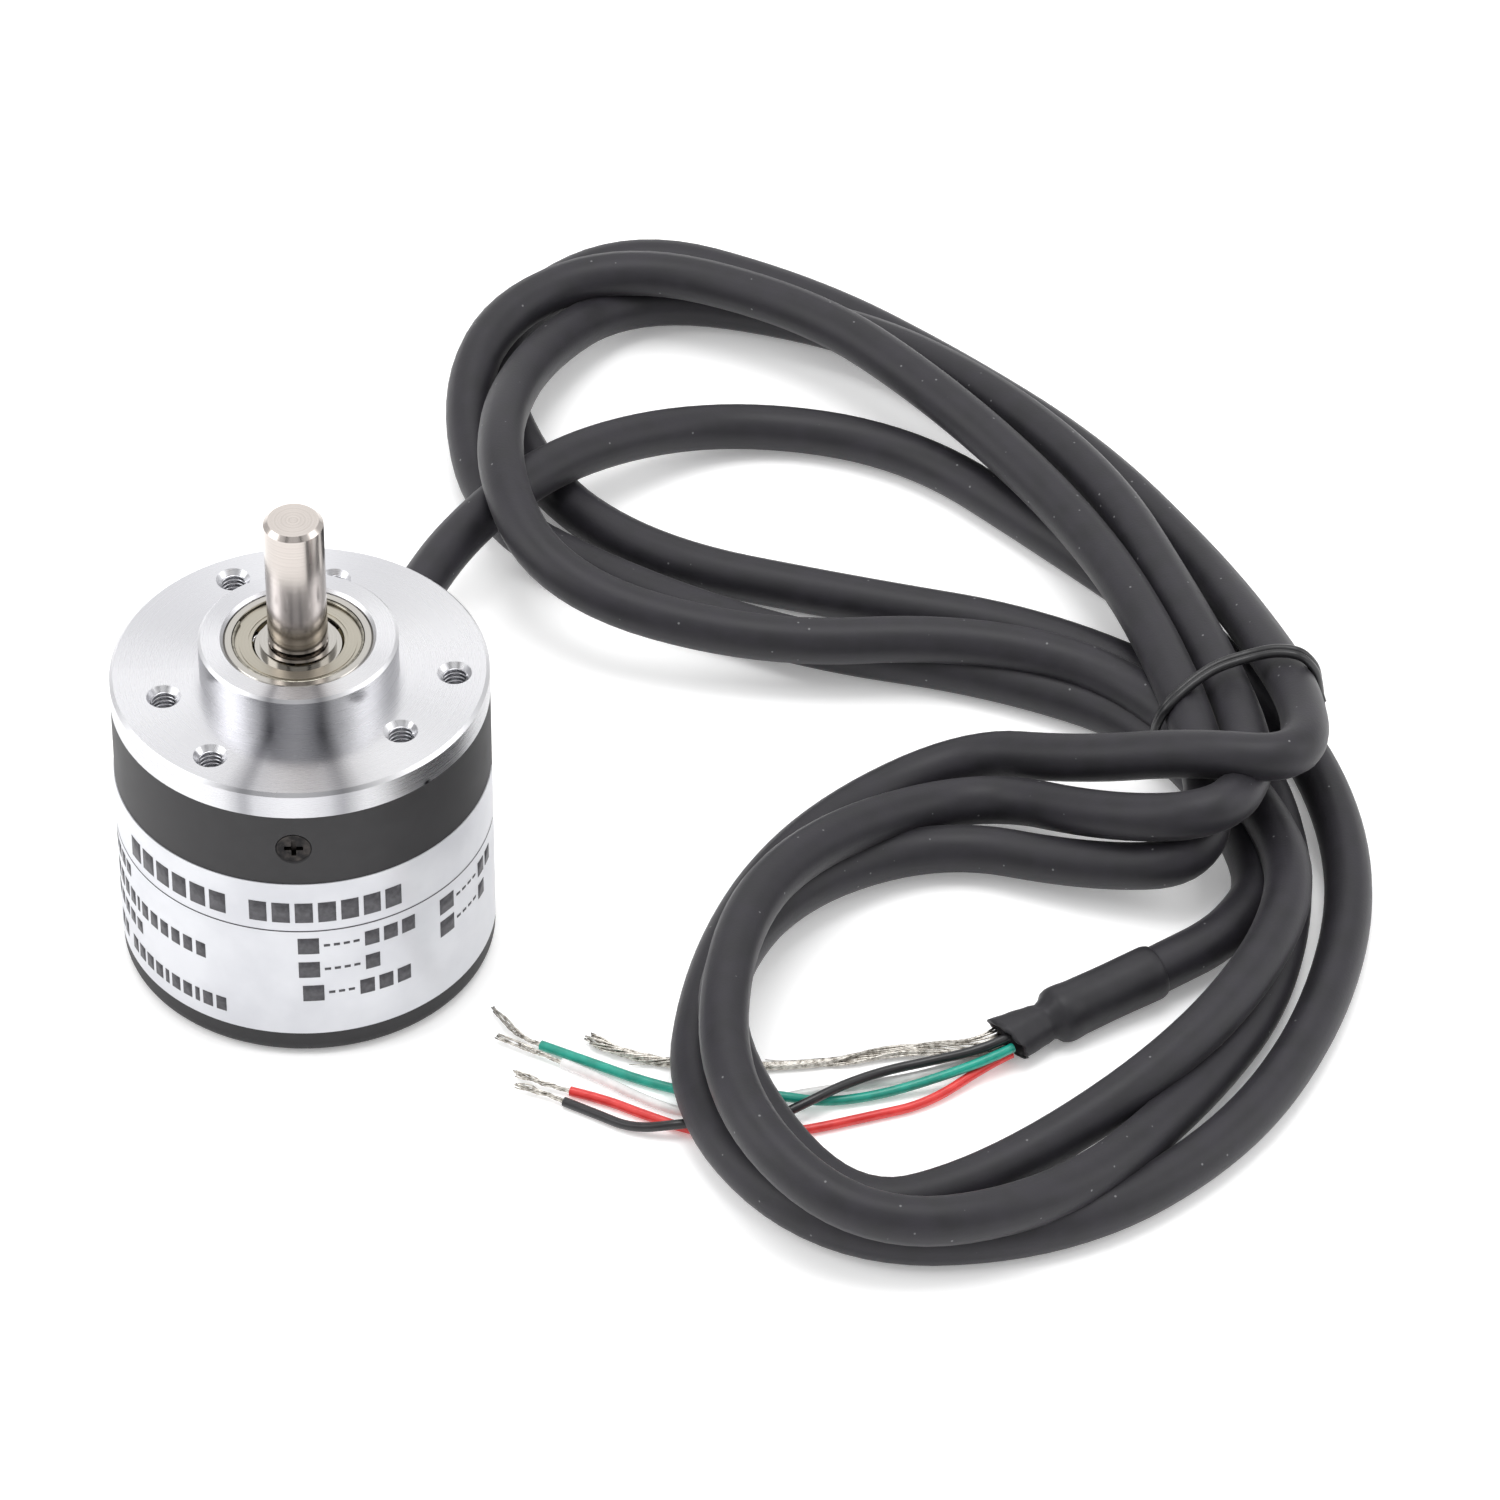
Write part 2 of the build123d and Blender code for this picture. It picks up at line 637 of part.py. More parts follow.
def makeSleeve():
    length = (sleeveEnd - sleeveStart).length
    outline = [(0, 0), (sleeveRadius, 0), (sleeveRadius, length * 0.66), (sleeveNeckRadius, length * 0.86),
               (sleeveMouthRadius, length), (0, length)]
    face = make_face(Polyline(*outline, close=True))
    return sleeveFrame() * revolve(Plane.XZ * face, Axis.Z)


def wirePoints(name):
    frame = sleeveFrame()
    turn = radians(wireSeatAngles[name])
    length = (sleeveEnd - sleeveStart).length
    x = wireSeatRadius * cos(turn)
    y = wireSeatRadius * sin(turn)
    seat = frame.from_local_coords(Vector(x, y, length))
    beyond = frame.from_local_coords(Vector(x, y, length + 3.0))
    return [tuple(seat), tuple(beyond)] + wireRoutes[name]


def makeStrandEnd(name):
    route = wireRoutes[name]
    start = Vector(*route[-1])
    before = Vector(*route[-2])
    end = Vector(*strandEnds[name])
    first = start + (start - before).normalized() * 2.5
    return tube(f"conductor {name}", [tuple(start), tuple(first), tuple(end)], strandRadius)


def makeTie():
    # a closed loop round the bundle, in an upright plane, which passes under it in a groove
    frame = Plane(origin=tieMiddle, x_dir=tieDirection, z_dir=tieDirection.cross(Vector(0, 0, 1)))
    loop = RectangleRounded(2 * tieHalfWidth, hankHeight, 1.2)
    path = frame * Pos(0, hankHeight / 2 + tieRadius + 0.05, 0) * loop
    path = path.faces()[0].outer_wire()
    section = Plane(origin=path @ 0, z_dir=path % 0) * Circle(tieRadius)
    return sweep(section, path=path)


for name, build in (
    ("flange", makeFlange), ("flange_seal", makeSeal), ("housing", makeHousing), ("rating_label", makeLabel),
    ("housing_screws", makeHousingScrews), ("bearing_retaining_ring", makeRetainingRing),
    ("shaft", makeShaft), ("shaft_clip", makeShaftClip), ("disc_hub", makeDiscHub),
    ("hub_set_screw", makeSetScrew), ("led_holder", makeLedHolder), ("led_emitter", makeLed),
    ("photo_sensor", makePhotoSensor),
    ("reticle", makeReticle), ("sensor_board", makeBoard), ("board_standoffs", makeStandoffs),
    ("board_screws", makeBoardScrews), ("wire_header", makeHeader), ("cable_gland", makeGland),
    ("cable_entry", makeJacketEnd), ("cable_clamp", makeClamp), ("cable_clamp_screws", makeClampScrews),
    ("cable_hank", makeHank), ("heat_shrink_sleeve", makeSleeve), ("twist_tie", makeTie),
):
    save(name, build())

makeBearing("front_bearing", frontBearingLow)
makeBearing("rear_bearing", rearBearingLow)
rearBearingTop = rearBearingLow + bearingWidth
save("bearing_spacer", ring(bearingSpacerRadius, shaftRadius + slideGap, rearBearingTop, frontBearingLow))
save("wave_washer", ring(washerOuter, washerInner, rearBearingTop, rearBearingTop + washerRoom))
save("code_disc", ring(discRadius, shaftRadius + slideGap, discLow, discTop))
save("disc_clamp_ring", ring(discClampRadius, shaftRadius + slideGap, discLow - discClampThickness, discLow))
save("line_driver_chip", makeChip(-8.5, 1.5, 4))
save("comparator_chip", makeChip(8.5, -3.5, 4))
save("resistors", makeSmallParts([(-9, -4, 0), (-9, -6, 0), (-12, -3.6, 90), (8.5, 2.2, 0), (11.4, 3.8, 90),
                                  (9.0, -8.6, 0)], 1.6, 0.8, 0.45))
save("capacitors", makeSmallParts([(-7.5, 6.0, 0), (-11.0, 5.6, 90), (12.6, -1.2, 90), (7.6, -11.4, 0)],
                                  2.0, 1.25, 1.0))
for index, name in enumerate(("red", "black", "green", "white")):
    save(f"inner_lead_{name}", makeInnerLead(index, f"inner lead {name}"))
save("cable_lead", tube("cable lead", leadRoute, cableRadius))
for name in ("red", "black", "green", "white"):
    save(f"wire_{name}", tube(f"wire {name}", wirePoints(name), wireRadius))
    save(f"conductor_{name}", makeStrandEnd(name))
save("shield_pigtail", tube("shield pigtail", wirePoints("shield"), wireRadius))
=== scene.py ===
import bpy
import bmesh
import math
import random
from mathutils import Matrix, Vector


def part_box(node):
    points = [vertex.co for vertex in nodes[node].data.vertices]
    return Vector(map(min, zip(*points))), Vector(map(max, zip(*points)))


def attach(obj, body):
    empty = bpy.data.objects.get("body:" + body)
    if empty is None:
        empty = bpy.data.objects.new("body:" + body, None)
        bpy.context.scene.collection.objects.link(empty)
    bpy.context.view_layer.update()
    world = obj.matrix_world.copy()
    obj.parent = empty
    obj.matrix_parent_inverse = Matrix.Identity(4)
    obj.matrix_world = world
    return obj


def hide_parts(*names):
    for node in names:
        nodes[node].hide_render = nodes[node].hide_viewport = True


# Shaft encoder on its rear face, with its cable in a tied hank. Metres, +Z along the shaft.
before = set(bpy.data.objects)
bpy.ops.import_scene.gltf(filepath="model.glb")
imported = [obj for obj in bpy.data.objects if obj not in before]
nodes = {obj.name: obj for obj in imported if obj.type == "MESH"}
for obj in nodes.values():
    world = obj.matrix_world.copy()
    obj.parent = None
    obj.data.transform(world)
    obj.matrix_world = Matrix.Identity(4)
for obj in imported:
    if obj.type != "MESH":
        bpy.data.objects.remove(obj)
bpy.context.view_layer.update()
scene = bpy.context.scene
mm = 0.001
print("frame loaded,", len(nodes), "nodes")


# a product shot from about 42 degrees above, on a long lens; the sensor's width is in millimetres
cameraSetup = {"lens": 203.3, "sensor": 36, "place": (0.04497, -0.63772, 0.58909), "tilt": 48.4755,
               "roll": 0.2352, "nearest": 0.05, "farthest": 20}


def makeCamera():
    data = bpy.data.cameras.new("productCamera")
    data.lens = cameraSetup["lens"]
    data.sensor_width = cameraSetup["sensor"]
    data.clip_start = cameraSetup["nearest"]
    data.clip_end = cameraSetup["farthest"]
    camera = bpy.data.objects.new("productCamera", data)
    scene.collection.objects.link(camera)
    turn = Matrix.Rotation(math.radians(cameraSetup["tilt"]), 4, "X")
    roll = Matrix.Rotation(math.radians(cameraSetup["roll"]), 4, "Z")
    camera.matrix_world = Matrix.Translation(cameraSetup["place"]) @ turn @ roll
    scene.camera = camera


makeCamera()


# cords: the lead, the tied hank and the five wires at its end; points and diameters are in millimetres
cordSetup = {"steps": 10, "guideSteps": 16, "roundness": 6}  # steps between two points, and round the cord
cableSetup = {"diameter": 5.0, "length": 1.6}  # the length is in metres
cableRoute = [
    # out of the gland and over to the hank
    (3.282, 18.613, 7.0), (5.192, 29.445, 7.0), (8.6, 42.0, 7.3), (14.6, 55.2, 7.6), (25.5, 68.0, 7.4),
    # first strand, down across the hank to the crossing
    (42, 79, 2.6), (62, 75, 2.5), (77, 60, 2.5), (92, 44, 2.5), (103.5, 26, 2.5),
    # outside of the lower loop
    (107.5, 5, 2.5), (103, -16, 2.5), (93, -34, 2.5), (76, -47, 2.5), (53, -48.5, 2.6), (38.5, -31, 4.0),
    (41, -9, 4.0), (49.5, 10.5, 3.0), (67, 24, 3.2),
    # first return over the crossing
    (79, 15.5, 9.5), (90, 11.5, 14.2), (101.5, 9, 15.2), (102.5, 22, 11.6), (98, 39, 7.4),
    # outside of the upper loop
    (93, 54, 3.6), (82, 73, 2.5), (67, 88, 2.5), (51, 101, 2.5), (30, 110, 2.5), (15, 93, 2.5), (21, 69, 2.5),
    # second strand down
    (34, 55.5, 2.5), (56, 49, 2.5), (76, 44, 2.5), (94, 32, 2.5), (101, 12, 2.5),
    # round the lower loop on top of the others
    (99, -10, 2.5), (90, -27, 2.8), (76, -46, 6.0), (56, -52, 7.6), (42, -37, 11.4), (43, -12, 11.6),
    (52, 5, 8.4), (69, 18, 2.8),
    # second return
    (82, 6.5, 9.4), (93, 3, 13.2), (97, 13, 10.6), (95, 28, 8.4), (90, 44, 7.5),
    # inside of the upper loop
    (83, 64, 6.5), (70, 81, 6.0), (55, 95, 3.2), (32, 101.5, 2.5), (20, 84.5, 6.4), (17, 60, 12.6),
    (24, 43, 9.2),
    # third strand down
    (46, 37, 6.3), (68, 39, 6.2), (86, 33, 5.2), (100, 10, 5.0), (100, -6, 7.0),
    # inside of the lower loop
    (89, -25, 6.6), (69, -39.5, 2.6), (53.5, -45, 3.0), (40, -22, 7.5), (47, 0, 4.6), (64, 11, 2.5),
    # third return
    (80, 5, 4.0), (91.5, 2, 7.4), (92.5, 15, 9.4), (86.5, 41, 8.0),
    # round the upper loop above the others
    (78, 60, 7.2), (65, 77, 8.5), (51, 92, 8.2), (29, 101, 7.6), (13.5, 88, 7.0), (15, 63, 3.0),
    (31, 51, 2.5),
    # fourth strand down and round to the sleeve
    (50, 41.5, 2.5), (71, 37, 2.5), (89, 28, 2.5), (98.5, 5.5, 2.6), (93.7, -4.2, 3.2), (86.2, -9.2, 2.9),
    (80.5, -13.0, 2.6),
]


def cordCurve(name, points, diameter, steps=cordSetup["steps"]):
    data = bpy.data.curves.new(name, "CURVE")
    data.dimensions = "3D"
    data.resolution_u = steps
    spline = data.splines.new("NURBS")
    spline.points.add(len(points) - 1)
    for point, place in zip(spline.points, points):
        point.co = (place[0] * mm, place[1] * mm, place[2] * mm, 1)
    spline.order_u = 3  # after the points, or the spline stays straight between them
    spline.use_endpoint_u = True
    data.bevel_depth = diameter * mm / 2
    data.bevel_resolution = cordSetup["roundness"]
    data.use_fill_caps = True
    made = bpy.data.objects.new(name, data)
    scene.collection.objects.link(made)
    return made


def routePoints(curve):
    # points along a cord's own line, read from a copy of it that has no thickness
    copy = curve.copy()
    copy.data = curve.data.copy()
    copy.data.bevel_depth = 0
    scene.collection.objects.link(copy)
    bpy.context.view_layer.update()
    mesh = bpy.data.meshes.new_from_object(copy)
    points = [vertex.co.copy() for vertex in mesh.vertices]
    bpy.data.objects.remove(copy)
    bpy.data.meshes.remove(mesh)
    return points


def lineLength(points):
    return sum((b - a).length for a, b in zip(points, points[1:]))


mainCable = cordCurve("mainCable", cableRoute, cableSetup["diameter"])

# each wire from inside the sleeve to the end of its insulation, and then the tips of its bare strands
wireSetup = {"diameter": 1.0, "braidDiameter": 1.0}
wireRoutes = {
    "green": [(71.5, -20.1, 2.4), (69.0, -21.8, 2.3), (62.5, -24.0, 1.2), (57.4, -25.4, 0.6),
              (52.4, -26.4, 0.7), (48.2, -26.6, 1.8), (43.6, -25.9, 1.7), (39.2, -25.0, 0.6),
              (34.3, -23.2, 0.5), (29.0, -20.5, 0.5), (24.0, -18.0, 0.5)],
    "black": [(71.0, -19.3, 3.1), (68.5, -21.0, 3.0), (63.2, -21.6, 1.9), (58.6, -23.0, 1.9),
              (54.4, -25.2, 2.0), (50.9, -27.6, 1.9), (46.8, -29.2, 0.7), (42.4, -29.8, 1.7),
              (38.0, -30.8, 1.8), (33.4, -30.2, 0.6), (29.6, -27.9, 0.5), (26.5, -26.2, 0.5)],
    "red": [(71.4, -19.8, 1.3), (68.9, -21.4, 1.2), (63.0, -26.3, 0.5), (57.0, -28.2, 0.5),
            (50.8, -30.2, 0.5), (45.0, -31.2, 0.5), (39.4, -30.4, 0.5), (34.4, -28.0, 0.5),
            (30.6, -25.9, 0.5), (27.1, -24.7, 0.5)],
    "white": [(70.7, -18.8, 1.3), (68.2, -20.4, 1.2), (61.6, -22.6, 0.5), (55.0, -23.9, 0.5),
              (49.2, -25.2, 0.5), (43.8, -27.4, 0.5), (38.6, -28.0, 0.5), (34.2, -25.7, 0.5),
              (30.2, -22.9, 0.5), (26.2, -20.6, 0.5)],
    "shield": [(70.5, -18.5, 2.4), (68.0, -20.2, 2.3), (62.2, -18.0, 0.5), (55.5, -20.0, 0.5),
               (48.5, -20.9, 0.5), (42.0, -21.1, 0.5), (36.0, -20.5, 0.5), (31.8, -19.2, 0.5),
               (28.9, -17.2, 0.5)],
}
strandEnds = {"green": (19.0, -12.9, 0.5), "black": (21.6, -24.0, 0.5), "red": (21.4, -22.3, 0.5),
              "white": (19.6, -16.9, 0.5)}
wires = {name: cordCurve("wire" + name.capitalize(), wireRoutes[name], wireSetup["diameter"])
         for name in ("green", "black", "red", "white")}
shieldLine = cordCurve("shieldLine", wireRoutes["shield"], 0.3)
print("cords laid")


# finishes: each is named for what it is made of and how its surface was made
def linear(code):
    # sRGB hex to the linear values that the shader takes
    parts = [int(code[i:i + 2], 16) / 255 for i in (1, 3, 5)]
    return tuple(v / 12.92 if v <= 0.04045 else ((v + 0.055) / 1.055) ** 2.4 for v in parts) + (1.0,)


def addNode(tree, kind, values=None, links=None):
    made = tree.nodes.new(kind)
    for name, value in (values or {}).items():
        if isinstance(name, int) or name in made.inputs:
            made.inputs[name].default_value = value
        else:
            setattr(made, name, value)
    for name, source in (links or {}).items():
        tree.links.new(source, made.inputs[name])
    return made


def newMaterial(name, code, **sockets):
    material = bpy.data.materials.new(name)
    material.use_nodes = True
    shader = material.node_tree.nodes["Principled BSDF"]
    shader.inputs["Base Color"].default_value = linear(code)
    material.diffuse_color = linear(code)
    for socket, value in sockets.items():
        shader.inputs[socket.replace("_", " ")].default_value = value
    return material, material.node_tree, shader


def perMetre(sizeMm):
    # texture scale for a pattern whose features are this many millimetres apart
    return 1000.0 / sizeMm


def colourBy(tree, shader, share, codes, low=0.0, high=1.0):
    # from the first tone to the second, as the share goes from low to high
    ramp = addNode(tree, "ShaderNodeValToRGB", {}, {"Fac": share})
    for point, place, code in zip(ramp.color_ramp.elements, (low, high), codes):
        point.position = place
        point.color = linear(code)
    tree.links.new(ramp.outputs["Color"], shader.inputs["Base Color"])


def relief(tree, shader, height, depthMm, strength):
    bump = addNode(tree, "ShaderNodeBump", {"Strength": strength, "Distance": depthMm * mm},
                   {"Height": height})
    tree.links.new(bump.outputs["Normal"], shader.inputs["Normal"])


def speckle(tree, shader, codes, sizeMm, low=0.35, high=0.65, roughness=None):
    # two close tones and, where asked, two roughnesses, mixed by one soft noise
    coords = addNode(tree, "ShaderNodeTexCoord").outputs["Object"]
    noise = addNode(tree, "ShaderNodeTexNoise", {"Scale": perMetre(sizeMm), "Detail": 4.0},
                    {"Vector": coords})
    colourBy(tree, shader, noise.outputs["Fac"], codes, low, high)
    if roughness:
        spread = addNode(tree, "ShaderNodeMapRange", {"To Min": roughness[0], "To Max": roughness[1]},
                         {"Value": noise.outputs["Fac"]})
        tree.links.new(spread.outputs["Result"], shader.inputs["Roughness"])
    return coords


def grain(tree, shader, sizeMm, depthMm, strength, coords, detail=2.0):
    # fine surface relief from noise
    noise = addNode(tree, "ShaderNodeTexNoise", {"Scale": perMetre(sizeMm), "Detail": detail},
                    {"Vector": coords})
    relief(tree, shader, noise.outputs["Fac"], depthMm, strength)


def surfacePlace(tree):
    # a point's coordinates, whole and in their three parts, in metres
    coords = addNode(tree, "ShaderNodeTexCoord").outputs["Object"]
    return coords, addNode(tree, "ShaderNodeSeparateXYZ", {}, {"Vector": coords}).outputs


def fromAxis(tree, parts):
    # distance from the shaft's axis
    flat = addNode(tree, "ShaderNodeCombineXYZ", {}, {"X": parts["X"], "Y": parts["Y"]})
    length = addNode(tree, "ShaderNodeVectorMath", {"operation": "LENGTH"}, {0: flat.outputs["Vector"]})
    return length.outputs["Value"]


def roundAxis(tree, parts):
    # angle round the shaft's axis, in radians
    angle = addNode(tree, "ShaderNodeMath", {"operation": "ARCTAN2"}, {0: parts["Y"], 1: parts["X"]})
    return angle.outputs["Value"]


def turnedFinish(tree, shader, pitchMm, depthMm, roughness, smudged, codes=None):
    # circular tool marks: noise read along radius plus height, so they ring faces and barrels alike
    coords, parts = surfacePlace(tree)
    along = addNode(tree, "ShaderNodeMath", {"operation": "ADD"}, {0: fromAxis(tree, parts), 1: parts["Z"]})
    line = addNode(tree, "ShaderNodeCombineXYZ", {}, {"X": along.outputs["Value"]})
    marks = addNode(tree, "ShaderNodeTexNoise", {"Scale": perMetre(pitchMm), "Detail": 3.0, "Roughness": 0.7},
                    {"Vector": line.outputs["Vector"]})
    relief(tree, shader, marks.outputs["Fac"], depthMm, 0.6)
    # handling leaves smudges some 6 mm wide, which dull or clear the marks in places
    smudge = addNode(tree, "ShaderNodeTexNoise", {"Scale": perMetre(6.0), "Detail": 3.0}, {"Vector": coords})
    mix = addNode(tree, "ShaderNodeMath", {"operation": "MULTIPLY_ADD", 1: smudged},
                  {0: smudge.outputs["Fac"], 2: marks.outputs["Fac"]})
    rough = addNode(tree, "ShaderNodeMapRange", {"From Min": 0.3, "From Max": 1.2, "To Min": roughness[0],
                                                 "To Max": roughness[1]}, {"Value": mix.outputs["Value"]})
    tree.links.new(rough.outputs["Result"], shader.inputs["Roughness"])
    if codes:
        colourBy(tree, shader, marks.outputs["Fac"], codes, 0.3, 0.7)
    ringed = addNode(tree, "ShaderNodeTangent", {"direction_type": "RADIAL", "axis": "Z"})
    tree.links.new(ringed.outputs["Tangent"], shader.inputs["Tangent"])
    return coords, parts


# painted reflections round the axis of a turned face, as (share of a turn from -180 degrees, colour): the
# streaks of light and shade that lathe marks reflect fan out from the axis, two narrow dark ones in front and
# softer ones elsewhere, painted into the colour
paintedFanReflections = [(0.0, "#CACACD"), (0.15, "#D2D2D5"), (0.19, "#CECED1"), (0.204, "#9C9CA0"), (0.211, "#8A8A8E"),
            (0.219, "#B4B4B8"), (0.25, "#CBCBCE"), (0.28, "#B2B2B6"), (0.291, "#8A8A8E"), (0.298, "#969699"),
            (0.312, "#CCCCCF"), (0.345, "#DADADC"), (0.42, "#CECED1"), (0.5, "#C8C8CB"), (0.6, "#D4D4D6"),
            (0.7, "#BCBCC0"), (0.76, "#D6D6D9"), (0.88, "#C6C6CA"), (1.0, "#CACACD")]

# painted shade of a small dent on the flange's lower edge, in millimetres: its place, and where it starts and
# stops fading
dentShade = {"place": (13.2, -13.9, 32.05), "core": 0.25, "edge": 0.6}


def turnedAluminium():
    # aluminium faced on a lathe: bright, with rings finer than the eye, and the reflected streaks that fan
    # from the axis painted into its colour
    material, tree, shader = newMaterial("turnedAluminium", "#DADADC", Metallic=1.0, Anisotropic=0.8)
    # real marks are 0.08 mm apart, drawn at 0.16 mm so that they show
    coords, parts = turnedFinish(tree, shader, 0.16, 0.004, (0.22, 0.36), 0.35)
    share = addNode(tree, "ShaderNodeMapRange", {"From Min": -math.pi, "From Max": math.pi},
                    {"Value": roundAxis(tree, parts)})
    # painted reflection: the fan of light and dark streaks round the axis is painted into the base colour
    ramp = addNode(tree, "ShaderNodeValToRGB", {}, {"Fac": share.outputs["Result"]})
    ramp.color_ramp.interpolation = "B_SPLINE"
    points = ramp.color_ramp.elements
    points[0].position, points[1].position = paintedFanReflections[0][0], paintedFanReflections[-1][0]
    points[0].color, points[1].color = linear(paintedFanReflections[0][1]), linear(paintedFanReflections[-1][1])
    for place, code in paintedFanReflections[1:-1]:
        points.new(place).color = linear(code)
    # painted shade: a dark spot on the flange's lower edge stands in for the shade of a small dent
    centre = tuple(v * mm for v in dentShade["place"])
    reach = addNode(tree, "ShaderNodeVectorMath", {"operation": "DISTANCE", 1: centre}, {0: coords})
    dentShadeMask = addNode(tree, "ShaderNodeMapRange",
                     {"From Min": dentShade["core"] * mm, "From Max": dentShade["edge"] * mm},
                     {"Value": reach.outputs["Value"]})
    # inputs 6 and 7 are the mix's two colours, and output 2 is its result
    mix = addNode(tree, "ShaderNodeMix", {"data_type": "RGBA", 6: linear("#2A2A2C")},
                  {"Factor": dentShadeMask.outputs["Result"], 7: ramp.outputs["Color"]})
    tree.links.new(mix.outputs[2], shader.inputs["Base Color"])
    return material


def matteHousing():
    # aluminium cup with a fine bead-blasted black anodised skin: dull, a little lighter where it faces up
    material, tree, shader = newMaterial("blackAnodisedCup", "#232224", Roughness=0.55,
                                         Specular_IOR_Level=0.4)
    coords = speckle(tree, shader, ("#201F21", "#272628"), 2.5, roughness=(0.5, 0.64))
    grain(tree, shader, 0.22, 0.012, 0.5, coords)  # blast grain is 0.1 mm, drawn at about twice that
    return material


def satinLabel():
    # silver-white polyester film under a satin varnish: bright, soft-edged reflections
    material, tree, shader = newMaterial("satinPolyesterFilm", "#C9CACE", Metallic=0.35)
    coords = speckle(tree, shader, ("#C2C3C8", "#CFD0D4"), 9.0, roughness=(0.32, 0.42))
    grain(tree, shader, 1.6, 0.01, 0.35, coords)
    return material


def labelInk():
    # screen-printed ink: flat dark grey, a little uneven
    material, tree, shader = newMaterial("screenInk", "#3F3E42", Roughness=0.5)
    coords = speckle(tree, shader, ("#38373B", "#4A494E"), 0.5)
    grain(tree, shader, 0.3, 0.004, 0.4, coords)
    return material


def blackOxide():
    # carbon steel blackened in a hot salt bath: near black, mottled with brownish worn patches
    material, tree, shader = newMaterial("blackOxideSteel", "#2A292A", Metallic=0.85)
    coords = speckle(tree, shader, ("#1C1B1C", "#403C3A"), 0.6, 0.4, 0.75, (0.28, 0.5))
    grain(tree, shader, 0.25, 0.01, 0.5, coords)
    return material


def groundStainless():
    # centreless-ground stainless bar: long soft reflections, fine rings round the bar
    material, tree, shader = newMaterial("groundStainless", "#BDB6B1", Metallic=1.0, Anisotropic=0.55)
    turnedFinish(tree, shader, 0.2, 0.002, (0.14, 0.26), 0.4, ("#B3ACA7", "#C8C1BC"))
    return material


def ringSteel():
    # hardened bearing steel, ground: cold and bright
    material, tree, shader = newMaterial("groundBearingSteel", "#ABA8A3", Metallic=1.0, Anisotropic=0.5)
    turnedFinish(tree, shader, 0.15, 0.002, (0.10, 0.2), 0.3, ("#A09D98", "#B6B3AE"))
    return material


def shieldSteel():
    # pressed shield: warm satin grey, brushed round
    material, tree, shader = newMaterial("pressedShieldSteel", "#A9A499", Metallic=1.0, Anisotropic=0.4)
    turnedFinish(tree, shader, 0.18, 0.003, (0.24, 0.38), 0.3, ("#9E998D", "#B4AFA4"))
    return material


def plainFinish(name, code, dark, light, roughness, sizeMm, depthMm, patch, **sockets):
    # one even finish: grain of the given size, and two close tones in patches some times as wide
    material, tree, shader = newMaterial(name, code, **sockets)
    coords = speckle(tree, shader, (dark, light), sizeMm * patch, roughness=roughness)
    grain(tree, shader, sizeMm, depthMm, 0.5, coords)
    return material


def metalFinish(*look):
    return plainFinish(*look, patch=4, Metallic=1.0)


def plasticFinish(*look, **sockets):
    return plainFinish(*look, patch=5, **sockets)


# dust on the cable: its spots' spacing in millimetres, then as shares of that spacing where a spot starts to
# fade and where it ends; a spot is there only where its own random number is above "rarity"
dustSetup = {"spacing": 1.25, "core": 0.06, "edge": 0.12, "rarity": 0.78, "code": "#6E6E70"}


def cableJacket():
    # matt extruded PVC: charcoal, a faint grain, and pale dust that clings to it
    material, tree, shader = newMaterial("extrudedPvcJacket", "#232226", Roughness=0.5,
                                         Specular_IOR_Level=0.38, Sheen_Weight=0.06, Sheen_Roughness=0.4)
    coords = speckle(tree, shader, ("#1F1E22", "#26242A"), 3.0, roughness=(0.44, 0.58))
    tones = shader.inputs["Base Color"].links[0].from_socket
    cells = addNode(tree, "ShaderNodeTexVoronoi", {"feature": "F1", "Scale": perMetre(dustSetup["spacing"])},
                    {"Vector": coords})
    fleck = addNode(tree, "ShaderNodeMapRange", {"From Min": dustSetup["core"], "From Max": dustSetup["edge"],
                                                 "To Min": 1.0, "To Max": 0.0},
                    {"Value": cells.outputs["Distance"]})
    pick = addNode(tree, "ShaderNodeSeparateColor", {}, {"Color": cells.outputs["Color"]})
    some = addNode(tree, "ShaderNodeMath", {"operation": "GREATER_THAN", 1: dustSetup["rarity"]},
                   {0: pick.outputs["Red"]})
    dust = addNode(tree, "ShaderNodeMath", {"operation": "MULTIPLY"},
                   {0: fleck.outputs["Result"], 1: some.outputs["Value"]})
    mix = addNode(tree, "ShaderNodeMix", {"data_type": "RGBA", 7: linear(dustSetup["code"])},
                  {"Factor": dust.outputs["Value"], 6: tones})
    tree.links.new(mix.outputs[2], shader.inputs["Base Color"])
    grain(tree, shader, 0.3, 0.03, 0.45, coords, detail=4.0)
    return material


def insulation(name, code, dark, light):
    # extruded PVC insulation: even colour with a soft gloss
    return plasticFinish(name, code, dark, light, (0.28, 0.4), 0.35, 0.006, Coat_Weight=0.15)


def solderMask():
    # glass laminate under green solder mask, with copper runs that stand a little proud under it
    material, tree, shader = newMaterial("greenSolderMask", "#0F5A30", Roughness=0.3, Coat_Weight=0.4)
    coords = addNode(tree, "ShaderNodeTexCoord").outputs["Object"]
    runs = addNode(tree, "ShaderNodeTexBrick", {"Scale": perMetre(4.0), "Mortar Size": 0.045, "offset": 0.35,
                                                "Brick Width": 0.9, "Row Height": 0.32}, {"Vector": coords})
    colourBy(tree, shader, runs.outputs["Fac"], ("#0F5A30", "#2F8A4C"))
    relief(tree, shader, runs.outputs["Fac"], 0.03, 0.5)
    return material


trackSetup = {"slots": 150, "inner": 9.8, "outer": 11.9}


